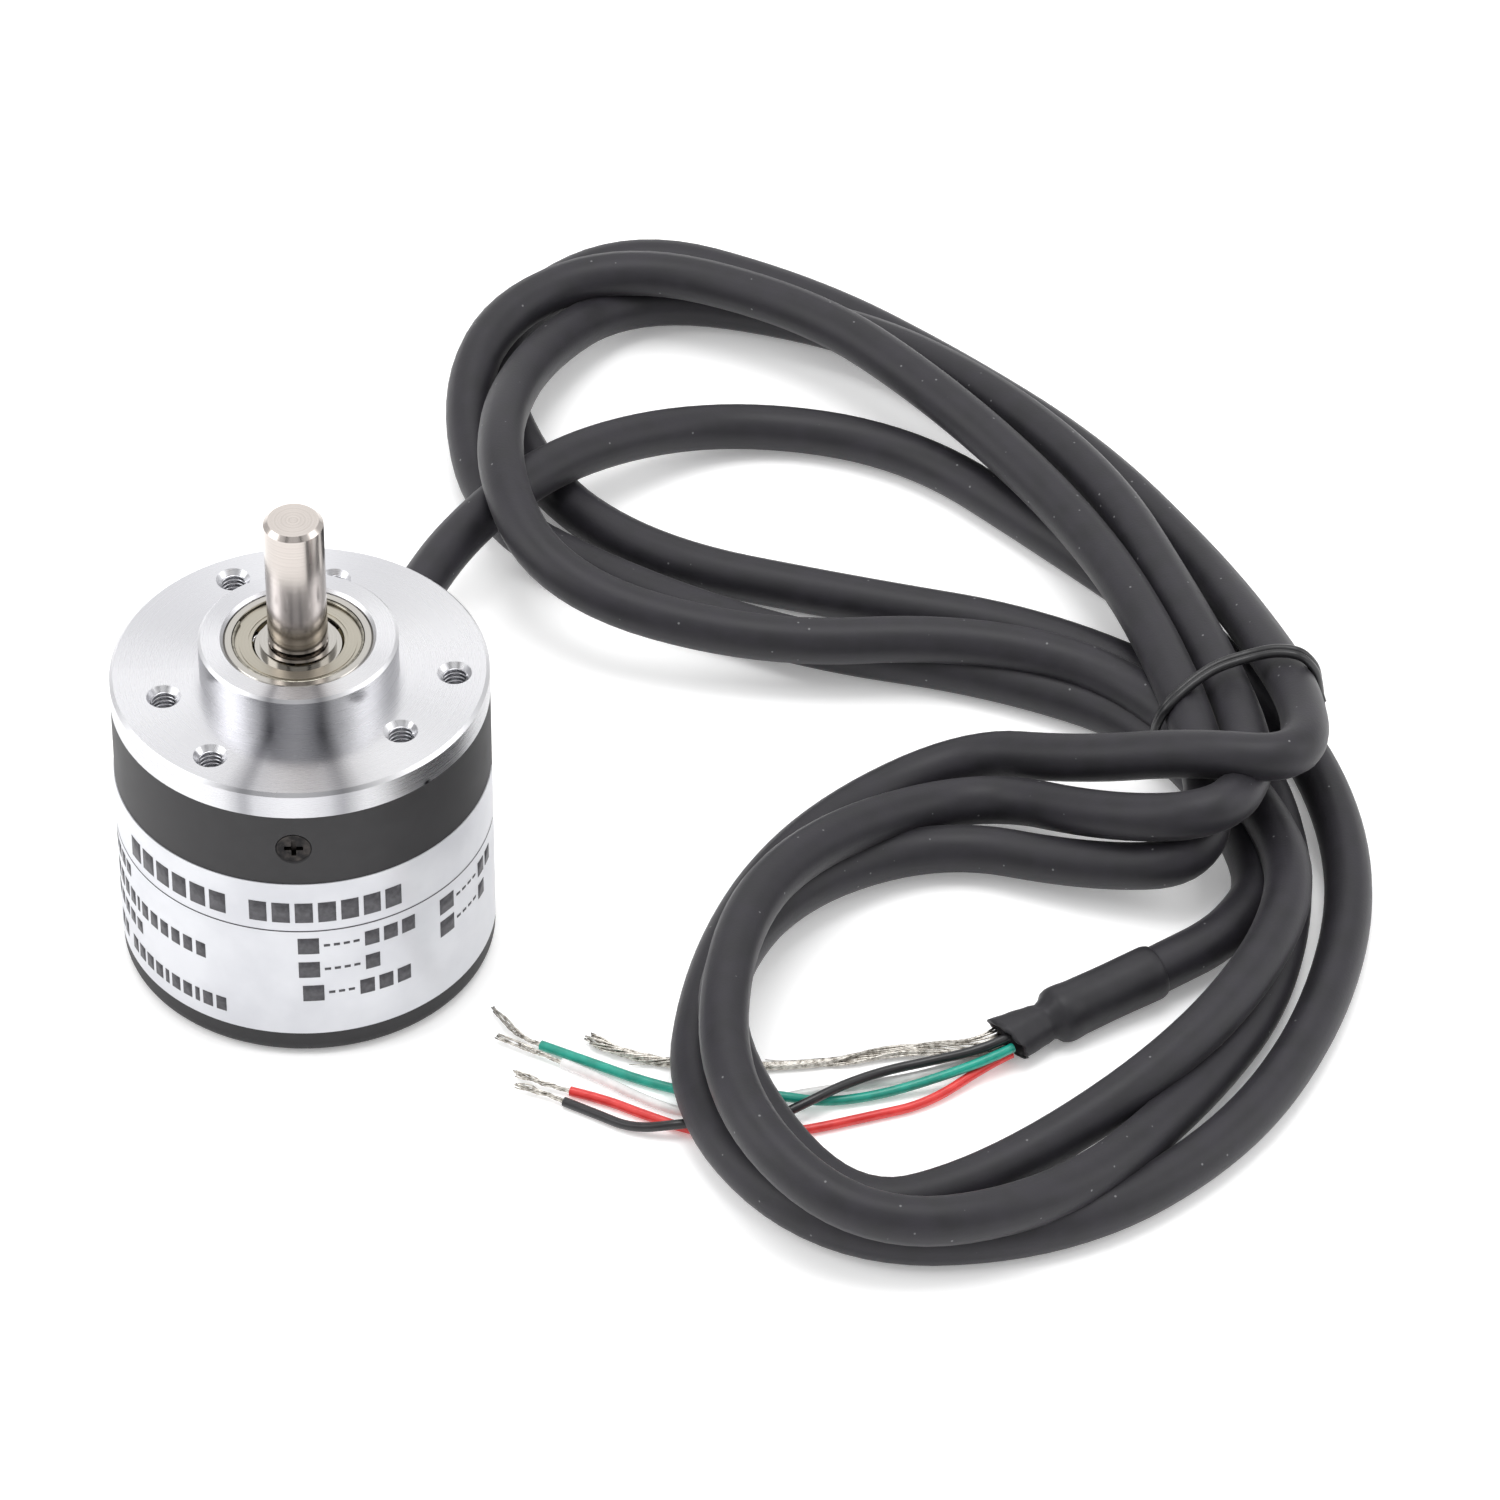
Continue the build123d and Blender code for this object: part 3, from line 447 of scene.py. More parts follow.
def codeDiscGlass():
    # glass disc with a chrome track: dark slots all round the rim, drawn 4 times coarser than the real ones
    material, tree, shader = newMaterial("chromeTrackGlass", "#BFD2CC", Roughness=0.08,
                                         Transmission_Weight=0.6)
    parts = surfacePlace(tree)[1]
    radius = fromAxis(tree, parts)
    turns = addNode(tree, "ShaderNodeMath", {"operation": "MULTIPLY", 1: trackSetup["slots"]},
                    {0: roundAxis(tree, parts)})
    wave = addNode(tree, "ShaderNodeMath", {"operation": "SINE"}, {0: turns.outputs["Value"]})
    slot = addNode(tree, "ShaderNodeMath", {"operation": "GREATER_THAN", 1: 0.0}, {0: wave.outputs["Value"]})
    beyond = addNode(tree, "ShaderNodeMath", {"operation": "GREATER_THAN", 1: trackSetup["inner"] * mm},
                     {0: radius})
    within = addNode(tree, "ShaderNodeMath", {"operation": "LESS_THAN", 1: trackSetup["outer"] * mm},
                     {0: radius})
    band = addNode(tree, "ShaderNodeMath", {"operation": "MULTIPLY"},
                   {0: beyond.outputs["Value"], 1: within.outputs["Value"]})
    dark = addNode(tree, "ShaderNodeMath", {"operation": "MULTIPLY"},
                   {0: band.outputs["Value"], 1: slot.outputs["Value"]})
    colourBy(tree, shader, dark.outputs["Value"], ("#BFD2CC", "#24262A"))
    tree.links.new(dark.outputs["Value"], shader.inputs["Metallic"])
    return material


chipSetup = {"halfWidth": 1.97}  # of the moulded body, in millimetres


def chipBody(node):
    # moulded epoxy body with tinned legs, which start beyond the body's long sides
    low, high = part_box(node)
    middle = (low.y + high.y) / 2
    material, tree, shader = newMaterial("mouldedEpoxyAndTin", "#232325", Roughness=0.55)
    coords, parts = surfacePlace(tree)
    offset = addNode(tree, "ShaderNodeMath", {"operation": "SUBTRACT", 1: middle}, {0: parts["Y"]})
    side = addNode(tree, "ShaderNodeMath", {"operation": "ABSOLUTE"}, {0: offset.outputs["Value"]})
    leg = addNode(tree, "ShaderNodeMath", {"operation": "GREATER_THAN", 1: chipSetup["halfWidth"] * mm},
                  {0: side.outputs["Value"]})
    colourBy(tree, shader, leg.outputs["Value"], ("#232325", "#C8C9CB"))
    tree.links.new(leg.outputs["Value"], shader.inputs["Metallic"])
    grain(tree, shader, 0.12, 0.006, 0.5, coords)
    return material


def giveMaterial(piece, material):
    piece.data.materials.clear()
    piece.data.materials.append(material)


turned = turnedAluminium()
anodised = matteHousing()
film = satinLabel()
ink = labelInk()
oxide = blackOxide()
stainless = groundStainless()
bearingRings = ringSteel()
shields = shieldSteel()
jacket = cableJacket()
# hard drawn wire: warm grey, a soft shine
wireSteel = metalFinish("drawnSnapWire", "#8D897E", "#77736A", "#A09C91", (0.22, 0.34), 0.2, 0.004)
# polished balls: nearly a mirror
ballSteel = metalFinish("polishedBallSteel", "#D2D2D4", "#CBCBCD", "#DADADC", (0.04, 0.08), 0.3, 0.001)
# phosphated springs and clips: dull dark grey
springSteel = metalFinish("phosphatedSpringSteel", "#48484C", "#3B3B3F", "#58585C", (0.35, 0.5), 0.15, 0.006)
# zinc plating: pale and slightly blue
zincSteel = metalFinish("zincPlatedSteel", "#C2C4C7", "#AEB1B5", "#D2D4D6", (0.2, 0.34), 0.25, 0.006)
# turned brass: yellow with a clean shine
turnedBrass = metalFinish("turnedBrass", "#C9A65A", "#B8944B", "#D9B96E", (0.18, 0.3), 0.2, 0.005)
# pressed sheet steel: mid grey, satin
clampSteel = metalFinish("pressedClampSteel", "#AFB0B2", "#9B9C9F", "#C0C1C3", (0.3, 0.42), 0.3, 0.006)
# freshly cut thread: bright flanks
cutThread = metalFinish("cutAluminiumThread", "#C4C4C8", "#B0B0B4", "#D6D6DA", (0.16, 0.28), 0.15, 0.004)
# tinned strands: warm silver, duller where handled
tin = metalFinish("tinnedCopper", "#B9B5AE", "#8F8A82", "#D8D4CD", (0.2, 0.36), 0.12, 0.005)
# moulded nylon in its own colour: creamy, slightly see-through in the cages
cageNylon = plasticFinish("naturalNylonCage", "#D6C59A", "#CDBB8E", "#DFD0A8", (0.4, 0.5), 0.2, 0.006,
                          Subsurface_Weight=0.1, Subsurface_Radius=(0.002, 0.0015, 0.001))
headerNylon = plasticFinish("naturalNylonHeader", "#E2DFD2", "#DAD7C9", "#EAE7DB", (0.35, 0.45), 0.2, 0.006)
# moulded ABS: black with a fine spark-eroded grain
holderPlastic = plasticFinish("mouldedBlackAbs", "#2B2B2D", "#262628", "#323234", (0.42, 0.55), 0.15, 0.008)
# moulded rubber: dull charcoal
moulded = plasticFinish("mouldedNitrileRubber", "#2F2E30", "#29282A", "#373638", (0.55, 0.7), 0.3, 0.012)
# fired ceramic: tan and matt
ceramic = plasticFinish("firedCeramic", "#B89A78", "#AC8E6C", "#C6A986", (0.5, 0.6), 0.12, 0.006)
# thick-film resistor under a glaze: black with a soft gloss
resistorBody = plasticFinish("glazedThickFilm", "#1F2023", "#19191C", "#2A2B2F", (0.25, 0.35), 0.12, 0.004)
# cast epoxy: clear with a faint tint
epoxy = plasticFinish("castClearEpoxy", "#E6E2EA", "#E0DCE4", "#EDEAF0", (0.05, 0.1), 0.5, 0.002,
                      Transmission_Weight=0.8)
# shrunk tubing: matt near-black, slightly rippled
shrink = plasticFinish("shrunkPolyolefin", "#232226", "#1F1E22", "#28272B", (0.42, 0.55), 0.6, 0.03,
                       Specular_IOR_Level=0.35)
# extruded tie: black satin
tiePlastic = plasticFinish("satinTiePlastic", "#1C1C1E", "#18181A", "#222224", (0.3, 0.4), 0.3, 0.006)
insulations = {
    "red": insulation("redPvcInsulation", "#D93230", "#CE2B2A", "#E03D3A"),
    "green": insulation("greenPvcInsulation", "#0F9380", "#0B8775", "#17A08C"),
    "black": insulation("blackPvcInsulation", "#18171A", "#151417", "#1F1E21"),
    "white": insulation("whitePvcInsulation", "#DCDBDA", "#D3D2D1", "#E6E5E4"),
}
discGlass = codeDiscGlass()
maskGreen = solderMask()

finishes = {
    "flange": turned, "disc_hub": turned, "housing": anodised, "rating_label": film,
    "housing_screws": oxide, "hub_set_screw": oxide, "shaft": stainless,
    "bearing_retaining_ring": springSteel, "shaft_clip": springSteel,
    "bearing_spacer": zincSteel, "disc_clamp_ring": zincSteel,
    "board_screws": zincSteel, "cable_clamp_screws": zincSteel, "board_standoffs": turnedBrass,
    "code_disc": discGlass, "reticle": discGlass, "led_holder": holderPlastic, "photo_sensor": holderPlastic,
    "resistors": resistorBody, "capacitors": ceramic, "led_emitter": epoxy, "sensor_board": maskGreen,
    "wire_header": headerNylon, "flange_seal": moulded, "cable_gland": moulded, "cable_clamp": clampSteel,
    "cable_entry": jacket, "line_driver_chip": chipBody("line_driver_chip"),
    "comparator_chip": chipBody("comparator_chip"),
}
for bearing in ("front_bearing", "rear_bearing"):
    finishes[bearing + "_outer_ring"] = bearingRings
    finishes[bearing + "_inner_ring"] = bearingRings
    finishes[bearing + "_balls"] = ballSteel
    finishes[bearing + "_cage"] = cageNylon
    finishes[bearing + "_shields"] = shields
    finishes[bearing + "_snap_wires"] = wireSteel
for colour in insulations:
    finishes["inner_lead_" + colour] = insulations[colour]
for name, material in finishes.items():
    giveMaterial(nodes[name], material)
print("materials made")


# pieces that the scene adds, or makes again in more detail than the frame has
def meshPiece(name, build):
    data = bpy.data.meshes.new(name)
    bm = bmesh.new()
    build(bm)
    bmesh.ops.recalc_face_normals(bm, faces=bm.faces)
    bm.to_mesh(data)
    bm.free()
    for face in data.polygons:
        face.use_smooth = True
    made = bpy.data.objects.new(name, data)
    scene.collection.objects.link(made)
    return made


def onCircle(radius, turn, height=0.0):
    return Vector((radius * math.cos(turn), radius * math.sin(turn), height))


def joinRings(bm, rings):
    # a skin from each ring of points to the next
    for a, b in zip(rings, rings[1:]):
        for k in range(len(a)):
            n = (k + 1) % len(a)
            bm.faces.new((a[k], a[n], b[n], b[k]))


def closeEnds(bm, rings):
    bm.faces.new(list(reversed(rings[0])))
    bm.faces.new(rings[-1])


def addTube(bm, points, radius, sides):
    # a closed tube through the points, whose section is carried along without twisting
    across = None
    rings = []
    for i, point in enumerate(points):
        ahead = points[min(i + 1, len(points) - 1)] - points[max(i - 1, 0)]
        ahead.normalize()
        if across is None:
            across = ahead.cross(Vector((0, 0, 1)))
            if across.length < 0.01:  # the tube starts straight up
                across = ahead.cross(Vector((1, 0, 0)))
        across = (across - ahead * across.dot(ahead)).normalized()
        up = ahead.cross(across)
        ring = []
        for k in range(sides):
            out = onCircle(1.0, 2 * math.pi * k / sides)
            ring.append(bm.verts.new(point + (across * out.x + up * out.y) * radius))
        rings.append(ring)
    joinRings(bm, rings)
    closeEnds(bm, rings)


# heights and thicknesses are in millimetres, starts and widths in degrees round the cup
labelSetup = {"radius": 19.112, "thickness": 0.01, "step": 1.5, "rule": (-172, -6, 16.85, 17.0),
              "keyHalf": 1.05, "dashHalf": 0.16, "valueHalf": 0.95, "dash": 1.9, "dashGap": 1.1,
              "afterKey": 1.4, "beforeValues": 0.6, "valueGap": 1.5}
# blocks in place of words: start, widths, low, high, gap; a width below nought leaves a space
labelLines = [
    (-152, (5.4,) * 6 + (-4.4,) + (5.4,) * 7, 18.1, 20.7, 1.55),
    (-172, (3.4,) * 4, 14.3, 15.9, 1.3),
    (-170, (3.4,) * 4 + (1.4,) + (3.4,) * 6, 11.0, 12.9, 1.5),
    (-171, (3.4,) * 5, 8.2, 9.8, 1.5),
    (-168, (3.4,) * 2 + (-2.0,) + (3.4,) * 4 + ((1.6,) + (3.4,) * 2) * 2, 4.6, 6.4, 1.3),
]
# lines of the wiring table: start, height, key's width, dashes, values' widths
labelTable = [(-90, 14.9, 6.4, 4, (4.6,) * 3), (-90, 11.7, 6.4, 4, (4.6,)), (-89, 8.5, 6.4, 3, (4.6,) * 3),
              (-43, 14.6, 6.2, 4, (4.2,) * 2), (-43, 11.6, 6.2, 4, (4.2,))]


def makeLabelPrint():
    # a generic layout in place of any lettering: a title of plain blocks over a thin rule, then four lines of
    # data and a wiring table of blocks and dashes
    back = labelSetup["radius"] * mm
    front = back + labelSetup["thickness"] * mm

    def bar(bm, start, end, low, high):
        steps = max(2, int(abs(end - start) / labelSetup["step"]))
        rings = []
        for i in range(steps + 1):
            turn = math.radians(start + (end - start) * i / steps)
            rings.append([bm.verts.new(onCircle(radius, turn, height * mm))
                          for radius, height in ((back, low), (back, high), (front, high), (front, low))])
        joinRings(bm, rings)
        closeEnds(bm, rings)

    def words(bm, start, widths, low, high, gap):
        place = start
        for width in widths:
            if width > 0:
                bar(bm, place, place + width, low, high)
            place += abs(width) + gap
        return place

    def row(bm, start, level, key, dashes, values):
        # one line of the table: a square, dashes, blocks
        half = labelSetup["keyHalf"]
        bar(bm, start, start + key, level - half, level + half)
        half = labelSetup["dashHalf"]
        place = words(bm, start + key + labelSetup["afterKey"], (labelSetup["dash"],) * dashes,
                      level - half, level + half, labelSetup["dashGap"])
        half = labelSetup["valueHalf"]
        words(bm, place + labelSetup["beforeValues"], values, level - half, level + half,
              labelSetup["valueGap"])

    def build(bm):
        bar(bm, *labelSetup["rule"])
        for line in labelLines:
            words(bm, *line)
        for line in labelTable:
            row(bm, *line)

    made = meshPiece("labelPrint", build)
    giveMaterial(made, ink)
    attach(made, "encoder_body")


makeLabelPrint()

# the holes lie on two circles, each given by its radius and the angle of its first hole
threadSetup = {"pitch": 0.5, "crest": 0.13, "reach": 1.27, "top": 34.5, "turns": 7, "steps": 24, "sides": 6,
               "circles": ((14.0, -162), (15.5, -122)), "holesOnCircle": 3}


def makeHoleThreads():
    # the M3 thread in each of the six holes: a ridge wound down the wall
    steps = threadSetup["steps"]
    ridge = [onCircle(threadSetup["reach"] * mm, 2 * math.pi * i / steps,
                      (threadSetup["top"] - threadSetup["pitch"] * i / steps) * mm)
             for i in range(threadSetup["turns"] * steps + 1)]

    def build(bm):
        for radius, first in threadSetup["circles"]:
            for hole in range(threadSetup["holesOnCircle"]):
                angle = first + 360 / threadSetup["holesOnCircle"] * hole
                centre = onCircle(radius * mm, math.radians(angle))
                addTube(bm, [centre + point for point in ridge], threadSetup["crest"] * mm,
                        threadSetup["sides"])

    made = meshPiece("holeThreads", build)
    giveMaterial(made, cutThread)
    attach(made, "encoder_body")


makeHoleThreads()

washerSetup = {"waves": 3, "steps": 72, "thickness": 0.22, "strip": 0.9}


def makeWaveWasher():
    # preload spring between the bearings: a flat strip ring pressed into waves, as high as its room
    low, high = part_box("wave_washer")
    outer = (high.x - low.x) / 2
    inner = outer - washerSetup["strip"] * mm
    half = washerSetup["thickness"] * mm / 2
    rise = (high.z - low.z) / 2 - half

    def build(bm):
        rings = []
        for i in range(washerSetup["steps"]):
            turn = 2 * math.pi * i / washerSetup["steps"]
            level = (low.z + high.z) / 2 + rise * math.sin(washerSetup["waves"] * turn)
            rings.append([bm.verts.new(onCircle(radius, turn, level + side * half))
                          for radius, side in ((inner, -1), (outer, -1), (outer, 1), (inner, 1))])
        joinRings(bm, rings + rings[:1])

    made = meshPiece("waveWasher", build)
    giveMaterial(made, springSteel)
    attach(made, "encoder_body")
    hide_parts("wave_washer")


makeWaveWasher()

# sleeve profile: share of its length, half width across, half height
sleeveProfile = [(0.0, 2.75, 2.75), (0.04, 2.9, 2.88), (0.3, 2.86, 2.83), (0.5, 2.92, 2.86),
                 (0.6, 3.08, 2.95), (0.64, 3.05, 2.85), (0.68, 2.45, 2.1), (0.71, 2.1, 1.75),
                 (0.76, 2.3, 1.95), (0.88, 2.65, 2.05), (1.0, 2.95, 2.1)]
sleeveSetup = {"start": (86.2, -9.2, 2.9), "end": (70.2, -19.0, 2.05), "wall": 0.35, "sides": 40,
               "steps": 44, "skin": (0.012, 0.92), "tear": 2.0, "ragged": 0.35, "slant": 0.45,
               "crease": 0.13, "creaseStart": 0.6, "seed": 7}


def makeSleeve():
    # shrunk over the jacket's end, drawn in over the wires, with a ragged cut mouth
    start = Vector(sleeveSetup["start"]) * mm
    end = Vector(sleeveSetup["end"]) * mm
    along = (end - start).normalized()
    across = along.cross(Vector((0, 0, 1))).normalized()
    up = across.cross(along)
    length = (end - start).length
    sides = sleeveSetup["sides"]
    wall = sleeveSetup["wall"]
    random.seed(sleeveSetup["seed"])
    tear = [random.uniform(0, 1) for _ in range(sides)]

    def halfSizes(share):
        for a, b in zip(sleeveProfile, sleeveProfile[1:]):
            if share <= b[0]:
                blend = (share - a[0]) / (b[0] - a[0])
                blend = blend * blend * (3 - 2 * blend)
                return a[1] + (b[1] - a[1]) * blend, a[2] + (b[2] - a[2]) * blend
        return sleeveProfile[-1][1:]

    def lipRing(bm, share, back, thinner):
        # back is how far the ring sits behind its place, thinner how far inside the outer wall
        wide, high = halfSizes(share)
        # the tube is shrunk tight only where it is drawn in, so creases run along there
        drawn = max(0.0, min(1.0, (share - sleeveSetup["creaseStart"]) / 0.1))
        crease = sleeveSetup["crease"] * drawn * (1.15 - share * 0.6)
        ring = []
        for k in range(sides):
            turn = 2 * math.pi * k / sides
            wave = crease * math.sin(4 * turn + 0.8) + crease * 0.5 * math.sin(7 * turn + 2.1)
            place = start + along * (share * length - back[k] * mm)
            place += across * math.cos(turn) * (wide + wave - thinner) * mm
            place += up * math.sin(turn) * (high + wave - thinner) * mm
            place.z = max(place.z, (0.03 + thinner * 0.3) * mm)  # it flattens a little on the floor
            ring.append(bm.verts.new(place))
        return ring

    def build(bm):
        whole = [0.0] * sides
        cut = []  # the cut slants back over the top and is ragged
        for k in range(sides):
            slant = sleeveSetup["slant"] * (1 - math.sin(2 * math.pi * k / sides + 0.5))
            ragged = sleeveSetup["ragged"] * tear[k] * tear[k - 1]
            cut.append(sleeveSetup["tear"] * (ragged + slant))
        first, last = sleeveSetup["skin"]
        steps = sleeveSetup["steps"]
        # the rounded end on the jacket, the skin, the mouth, and the inside of the wall
        rings = [lipRing(bm, 0.0, whole, 0.22), lipRing(bm, 0.004, whole, 0.05)]
        rings += [lipRing(bm, first + (last - first) * i / steps, whole, 0.0) for i in range(steps + 1)]
        rings += [lipRing(bm, 0.96, [0.4 * c for c in cut], 0.0), lipRing(bm, 1.0, cut, 0.0)]
        rings += [lipRing(bm, 1.0, cut, wall * 0.6), lipRing(bm, 0.97, [0.5 * c for c in cut], wall),
                  lipRing(bm, 0.82, whole, wall)]
        joinRings(bm, rings)
        closeEnds(bm, rings)

    made = meshPiece("heatShrinkSleeve", build)
    giveMaterial(made, shrink)
    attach(made, "encoder_body")
    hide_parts("heat_shrink_sleeve")
    return made


sleeve = makeSleeve()

# strands: how many, the radius of one, how far they lie from the bundle's middle, turns from end to end,
# and how far their tips stray; "inside" and "straight" are the lengths before and after the insulation's end
strandSetup = {"count": 7, "radius": 0.08, "bundle": 0.17, "twist": 2.6, "fray": 0.7, "curl": 0.16,
               "sides": 6, "inside": 1.0, "straight": 2.5, "core": 0.35, "frayStart": 0.55,
               "lowest": 0.1, "firstSeed": 20}


def strandPaths(line, look, seed):
    # fine wires laid round a line, which spread a little towards its far end
    random.seed(seed)
    total = len(line) - 1
    paths = []
    for s in range(look["count"]):
        phase = 2 * math.pi * s / look["count"]
        spread = Vector((random.uniform(-1, 1), random.uniform(-1, 1), random.uniform(0, 0.6)))
        spread = spread * look["fray"] * mm
        reach = look["bundle"] * (strandSetup["core"] if s == 0 else 1.0)
        path = []
        for i, place in enumerate(line):
            share = i / total
            ahead = (line[min(i + 1, total)] - line[max(i - 1, 0)]).normalized()
            across = ahead.cross(Vector((0, 0, 1))).normalized()
            up = across.cross(ahead)
            turn = phase + look["twist"] * 2 * math.pi * share
            spot = place + (across * math.cos(turn) + up * math.sin(turn)) * reach * mm
            spot += spread * max(0.0, share - strandSetup["frayStart"]) ** 1.5
            spot.z = max(spot.z, strandSetup["lowest"] * mm)
            path.append(spot)
        paths.append(path)
    return paths


def makeConductor(name, seed):
    # stripped end of one wire: bare tinned strands
    before, edge = (Vector(p) for p in wireRoutes[name][-2:])
    ahead = (edge - before).normalized()
    route = [edge - ahead * strandSetup["inside"], edge, edge + ahead * strandSetup["straight"],
             Vector(strandEnds[name])]
    guide = cordCurve("guide", route, strandSetup["radius"], cordSetup["guideSteps"])
    line = routePoints(guide)
    bpy.data.objects.remove(guide)
    paths = strandPaths(line, strandSetup, seed)
    # loose strands curl at their tips
    for s, path in enumerate(paths):
        for i, place in enumerate(path):
            share = i / (len(path) - 1)
            curl = strandSetup["curl"] * mm * share ** 2
            place.x += curl * math.sin(9 * share + s)
            place.z = max(strandSetup["lowest"] * mm, place.z + curl * (1 + math.cos(8 * share + 2 * s)))

    def build(bm):
        for path in paths:
            addTube(bm, path, strandSetup["radius"] * mm, strandSetup["sides"])

    made = meshPiece("conductor" + name.capitalize(), build)
    giveMaterial(made, tin)
    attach(made, "encoder_body")
    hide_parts("conductor_" + name)
    return made


for seed, name in enumerate(("green", "black", "red", "white")):
    wire = wires[name]
    giveMaterial(wire, insulations[name])
    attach(wire, "encoder_body")
    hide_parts("wire_" + name)
    conductor = makeConductor(name, strandSetup["firstSeed"] + seed)
    line = routePoints(wire)

# the shield's strands are thicker and more than a wire's; the first part of them is a flat ribbon, and strays
# leave the line at the given points along it
braidSetup = {"count": 16, "radius": 0.12, "bundle": 0.36, "twist": 4.0, "fray": 1.6, "sides": 6, "seed": 41,
              "flatShare": 0.4334, "ribbon": 3.0, "ripple": 0.12, "layer": 0.09,
              "strayStarts": (30, 44, 58), "strayPoints": 14, "strayRadius": 0.05, "straySides": 5,
              "straySeed": 5}


def makeBraid():
    # the cable's shield, unpicked and twisted into a thin bright tail with a few stray wires
    line = routePoints(shieldLine)
    bpy.data.objects.remove(shieldLine)
    paths = strandPaths(line, braidSetup, braidSetup["seed"])
    lowest = strandSetup["lowest"] * mm
    flat = int(braidSetup["flatShare"] * len(line))
    for s, path in enumerate(paths):
        for i in range(flat):
            ahead = (line[i + 1] - line[i]).normalized()
            across = ahead.cross(Vector((0, 0, 1))).normalized()
            place = (s / (braidSetup["count"] - 1) - 0.5) * braidSetup["ribbon"]
            ribbon = line[i] + across * (place + math.sin(i * 0.5 + s) * braidSetup["ripple"]) * mm
            # the strands lie in five layers
            ribbon.z = max(lowest, ribbon.z + ((s * 7) % 5 - 2) * braidSetup["layer"] * mm)
            path[i] = path[i].lerp(ribbon, (1 - i / flat) ** 0.8)
    random.seed(braidSetup["straySeed"])
    strays = []
    for start in braidSetup["strayStarts"]:
        stray = [p.copy() for p in line[start:start + braidSetup["strayPoints"]]]
        lift = Vector((random.uniform(-0.6, 0.6), random.choice((-1, 1)) * random.uniform(0.8, 1.5), 0.1))
        for i, p in enumerate(stray):
            share = i / len(stray)
            p += lift * mm * share ** 1.4
            p.z = max(braidSetup["radius"] * mm, p.z * (1 - 0.7 * share))
        strays.append(stray)

    def build(bm):
        for path in paths:
            addTube(bm, path, braidSetup["radius"] * mm, braidSetup["sides"])
        for stray in strays:
            addTube(bm, stray, braidSetup["strayRadius"] * mm, braidSetup["straySides"])

    made = meshPiece("shieldBraid", build)
    giveMaterial(made, tin)
    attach(made, "encoder_body")
    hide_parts("shield_pigtail")


makeBraid()

# the tie's two plies, the knot that their ends make, and the thin end left up
tieSetup = {"radius": 0.45, "gap": 0.8, "sway": 0.12, "lowest": 0.52, "knotRadius": 0.46,
            "knotPly": 0.38, "knotTurns": 2.2, "knotSteps": 30, "knotStart": (104.0, 28.5, 7.2),
            "knotReach": (0.2, 0.5, -3.4), "tailStart": (103.7, 27.5, 9.9),
            "tailReach": (1.1, -0.8, -2.1), "tailBend": 0.4, "tailRadius": 0.24, "tailSteps": 12,
            "sides": 10, "tailSides": 8}
tieLoop = [(87.1, 23.8, 3.4), (87.0, 22.9, 7.2), (88.0, 22.9, 10.3), (90.2, 24.6, 11.8),
           (93.0, 26.4, 12.6), (96.4, 27.6, 13.1), (99.5, 27.8, 13.9), (101.9, 27.3, 13.9),
           (103.5, 27.2, 12.0), (104.1, 27.4, 9.4), (104.5, 27.4, 6.4), (104.8, 27.0, 3.0),
           (103.6, 26.2, 0.7), (98.0, 25.2, 0.55), (92.0, 24.8, 0.55), (88.0, 24.8, 0.9)]


def smoothLoop(points, steps=8):
    # a closed curve through the points, with this many steps from one to the next
    count = len(points)
    made = []
    for i in range(count):
        a, b, c, d = (Vector(points[(i + k) % count]) for k in (-1, 0, 1, 2))
        for s in range(steps):
            t = s / steps
            made.append(((b * 2) + (c - a) * t + (a * 2 - b * 5 + c * 4 - d) * t * t
                         + (b * 3 - a - c * 3 + d) * t ** 3) * 0.5 * mm)
    return made


def makeTie():
    # plastic-covered tie wire: two plies side by side round the bundle, twisted off at the right
    loop = smoothLoop(tieLoop)
    loop += [loop[0].copy(), loop[1].copy()]
    plies = []
    for side in (-0.5, 0.5):
        ply = []
        for i, place in enumerate(loop):
            sway = math.sin(i * 0.21) * tieSetup["sway"]
            ply.append(place + Vector((0.1, side * tieSetup["gap"] + sway, 0)) * mm)
            ply[-1].z = max(ply[-1].z, tieSetup["lowest"] * mm)
        plies.append(ply)
    knotStart = Vector(tieSetup["knotStart"])
    knotReach = Vector(tieSetup["knotReach"])
    knot = []
    for ply in (0, 1):
        path = []
        for i in range(tieSetup["knotSteps"]):
            share = i / (tieSetup["knotSteps"] - 1)
            turn = 2 * math.pi * tieSetup["knotTurns"] * share + math.pi * ply
            out = Vector((math.cos(turn), math.sin(turn), 0.1 * math.sin(turn))) * tieSetup["knotRadius"]
            path.append((knotStart + knotReach * share + out) * mm)
        knot.append(path)
    tail = []
    for i in range(tieSetup["tailSteps"] + 1):
        share = i / tieSetup["tailSteps"]
        bend = Vector((0, 0, tieSetup["tailBend"] * math.sin(share * 3)))
        tail.append((Vector(tieSetup["tailStart"]) + Vector(tieSetup["tailReach"]) * share + bend) * mm)

    def build(bm):
        for ply in plies:
            addTube(bm, ply, tieSetup["radius"] * mm, tieSetup["sides"])
        for path in knot:
            addTube(bm, path, tieSetup["knotPly"] * mm, tieSetup["sides"])
        addTube(bm, tail, tieSetup["tailRadius"] * mm, tieSetup["tailSides"])

    made = meshPiece("twistTie", build)
    giveMaterial(made, tiePlastic)
    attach(made, "encoder_body")
    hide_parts("twist_tie")
    return made


tie = makeTie()

giveMaterial(mainCable, jacket)
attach(mainCable, "encoder_body")
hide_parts("cable_lead", "cable_hank")
print("cable", round(lineLength(routePoints(mainCable)), 4), "m")
print("pieces made")

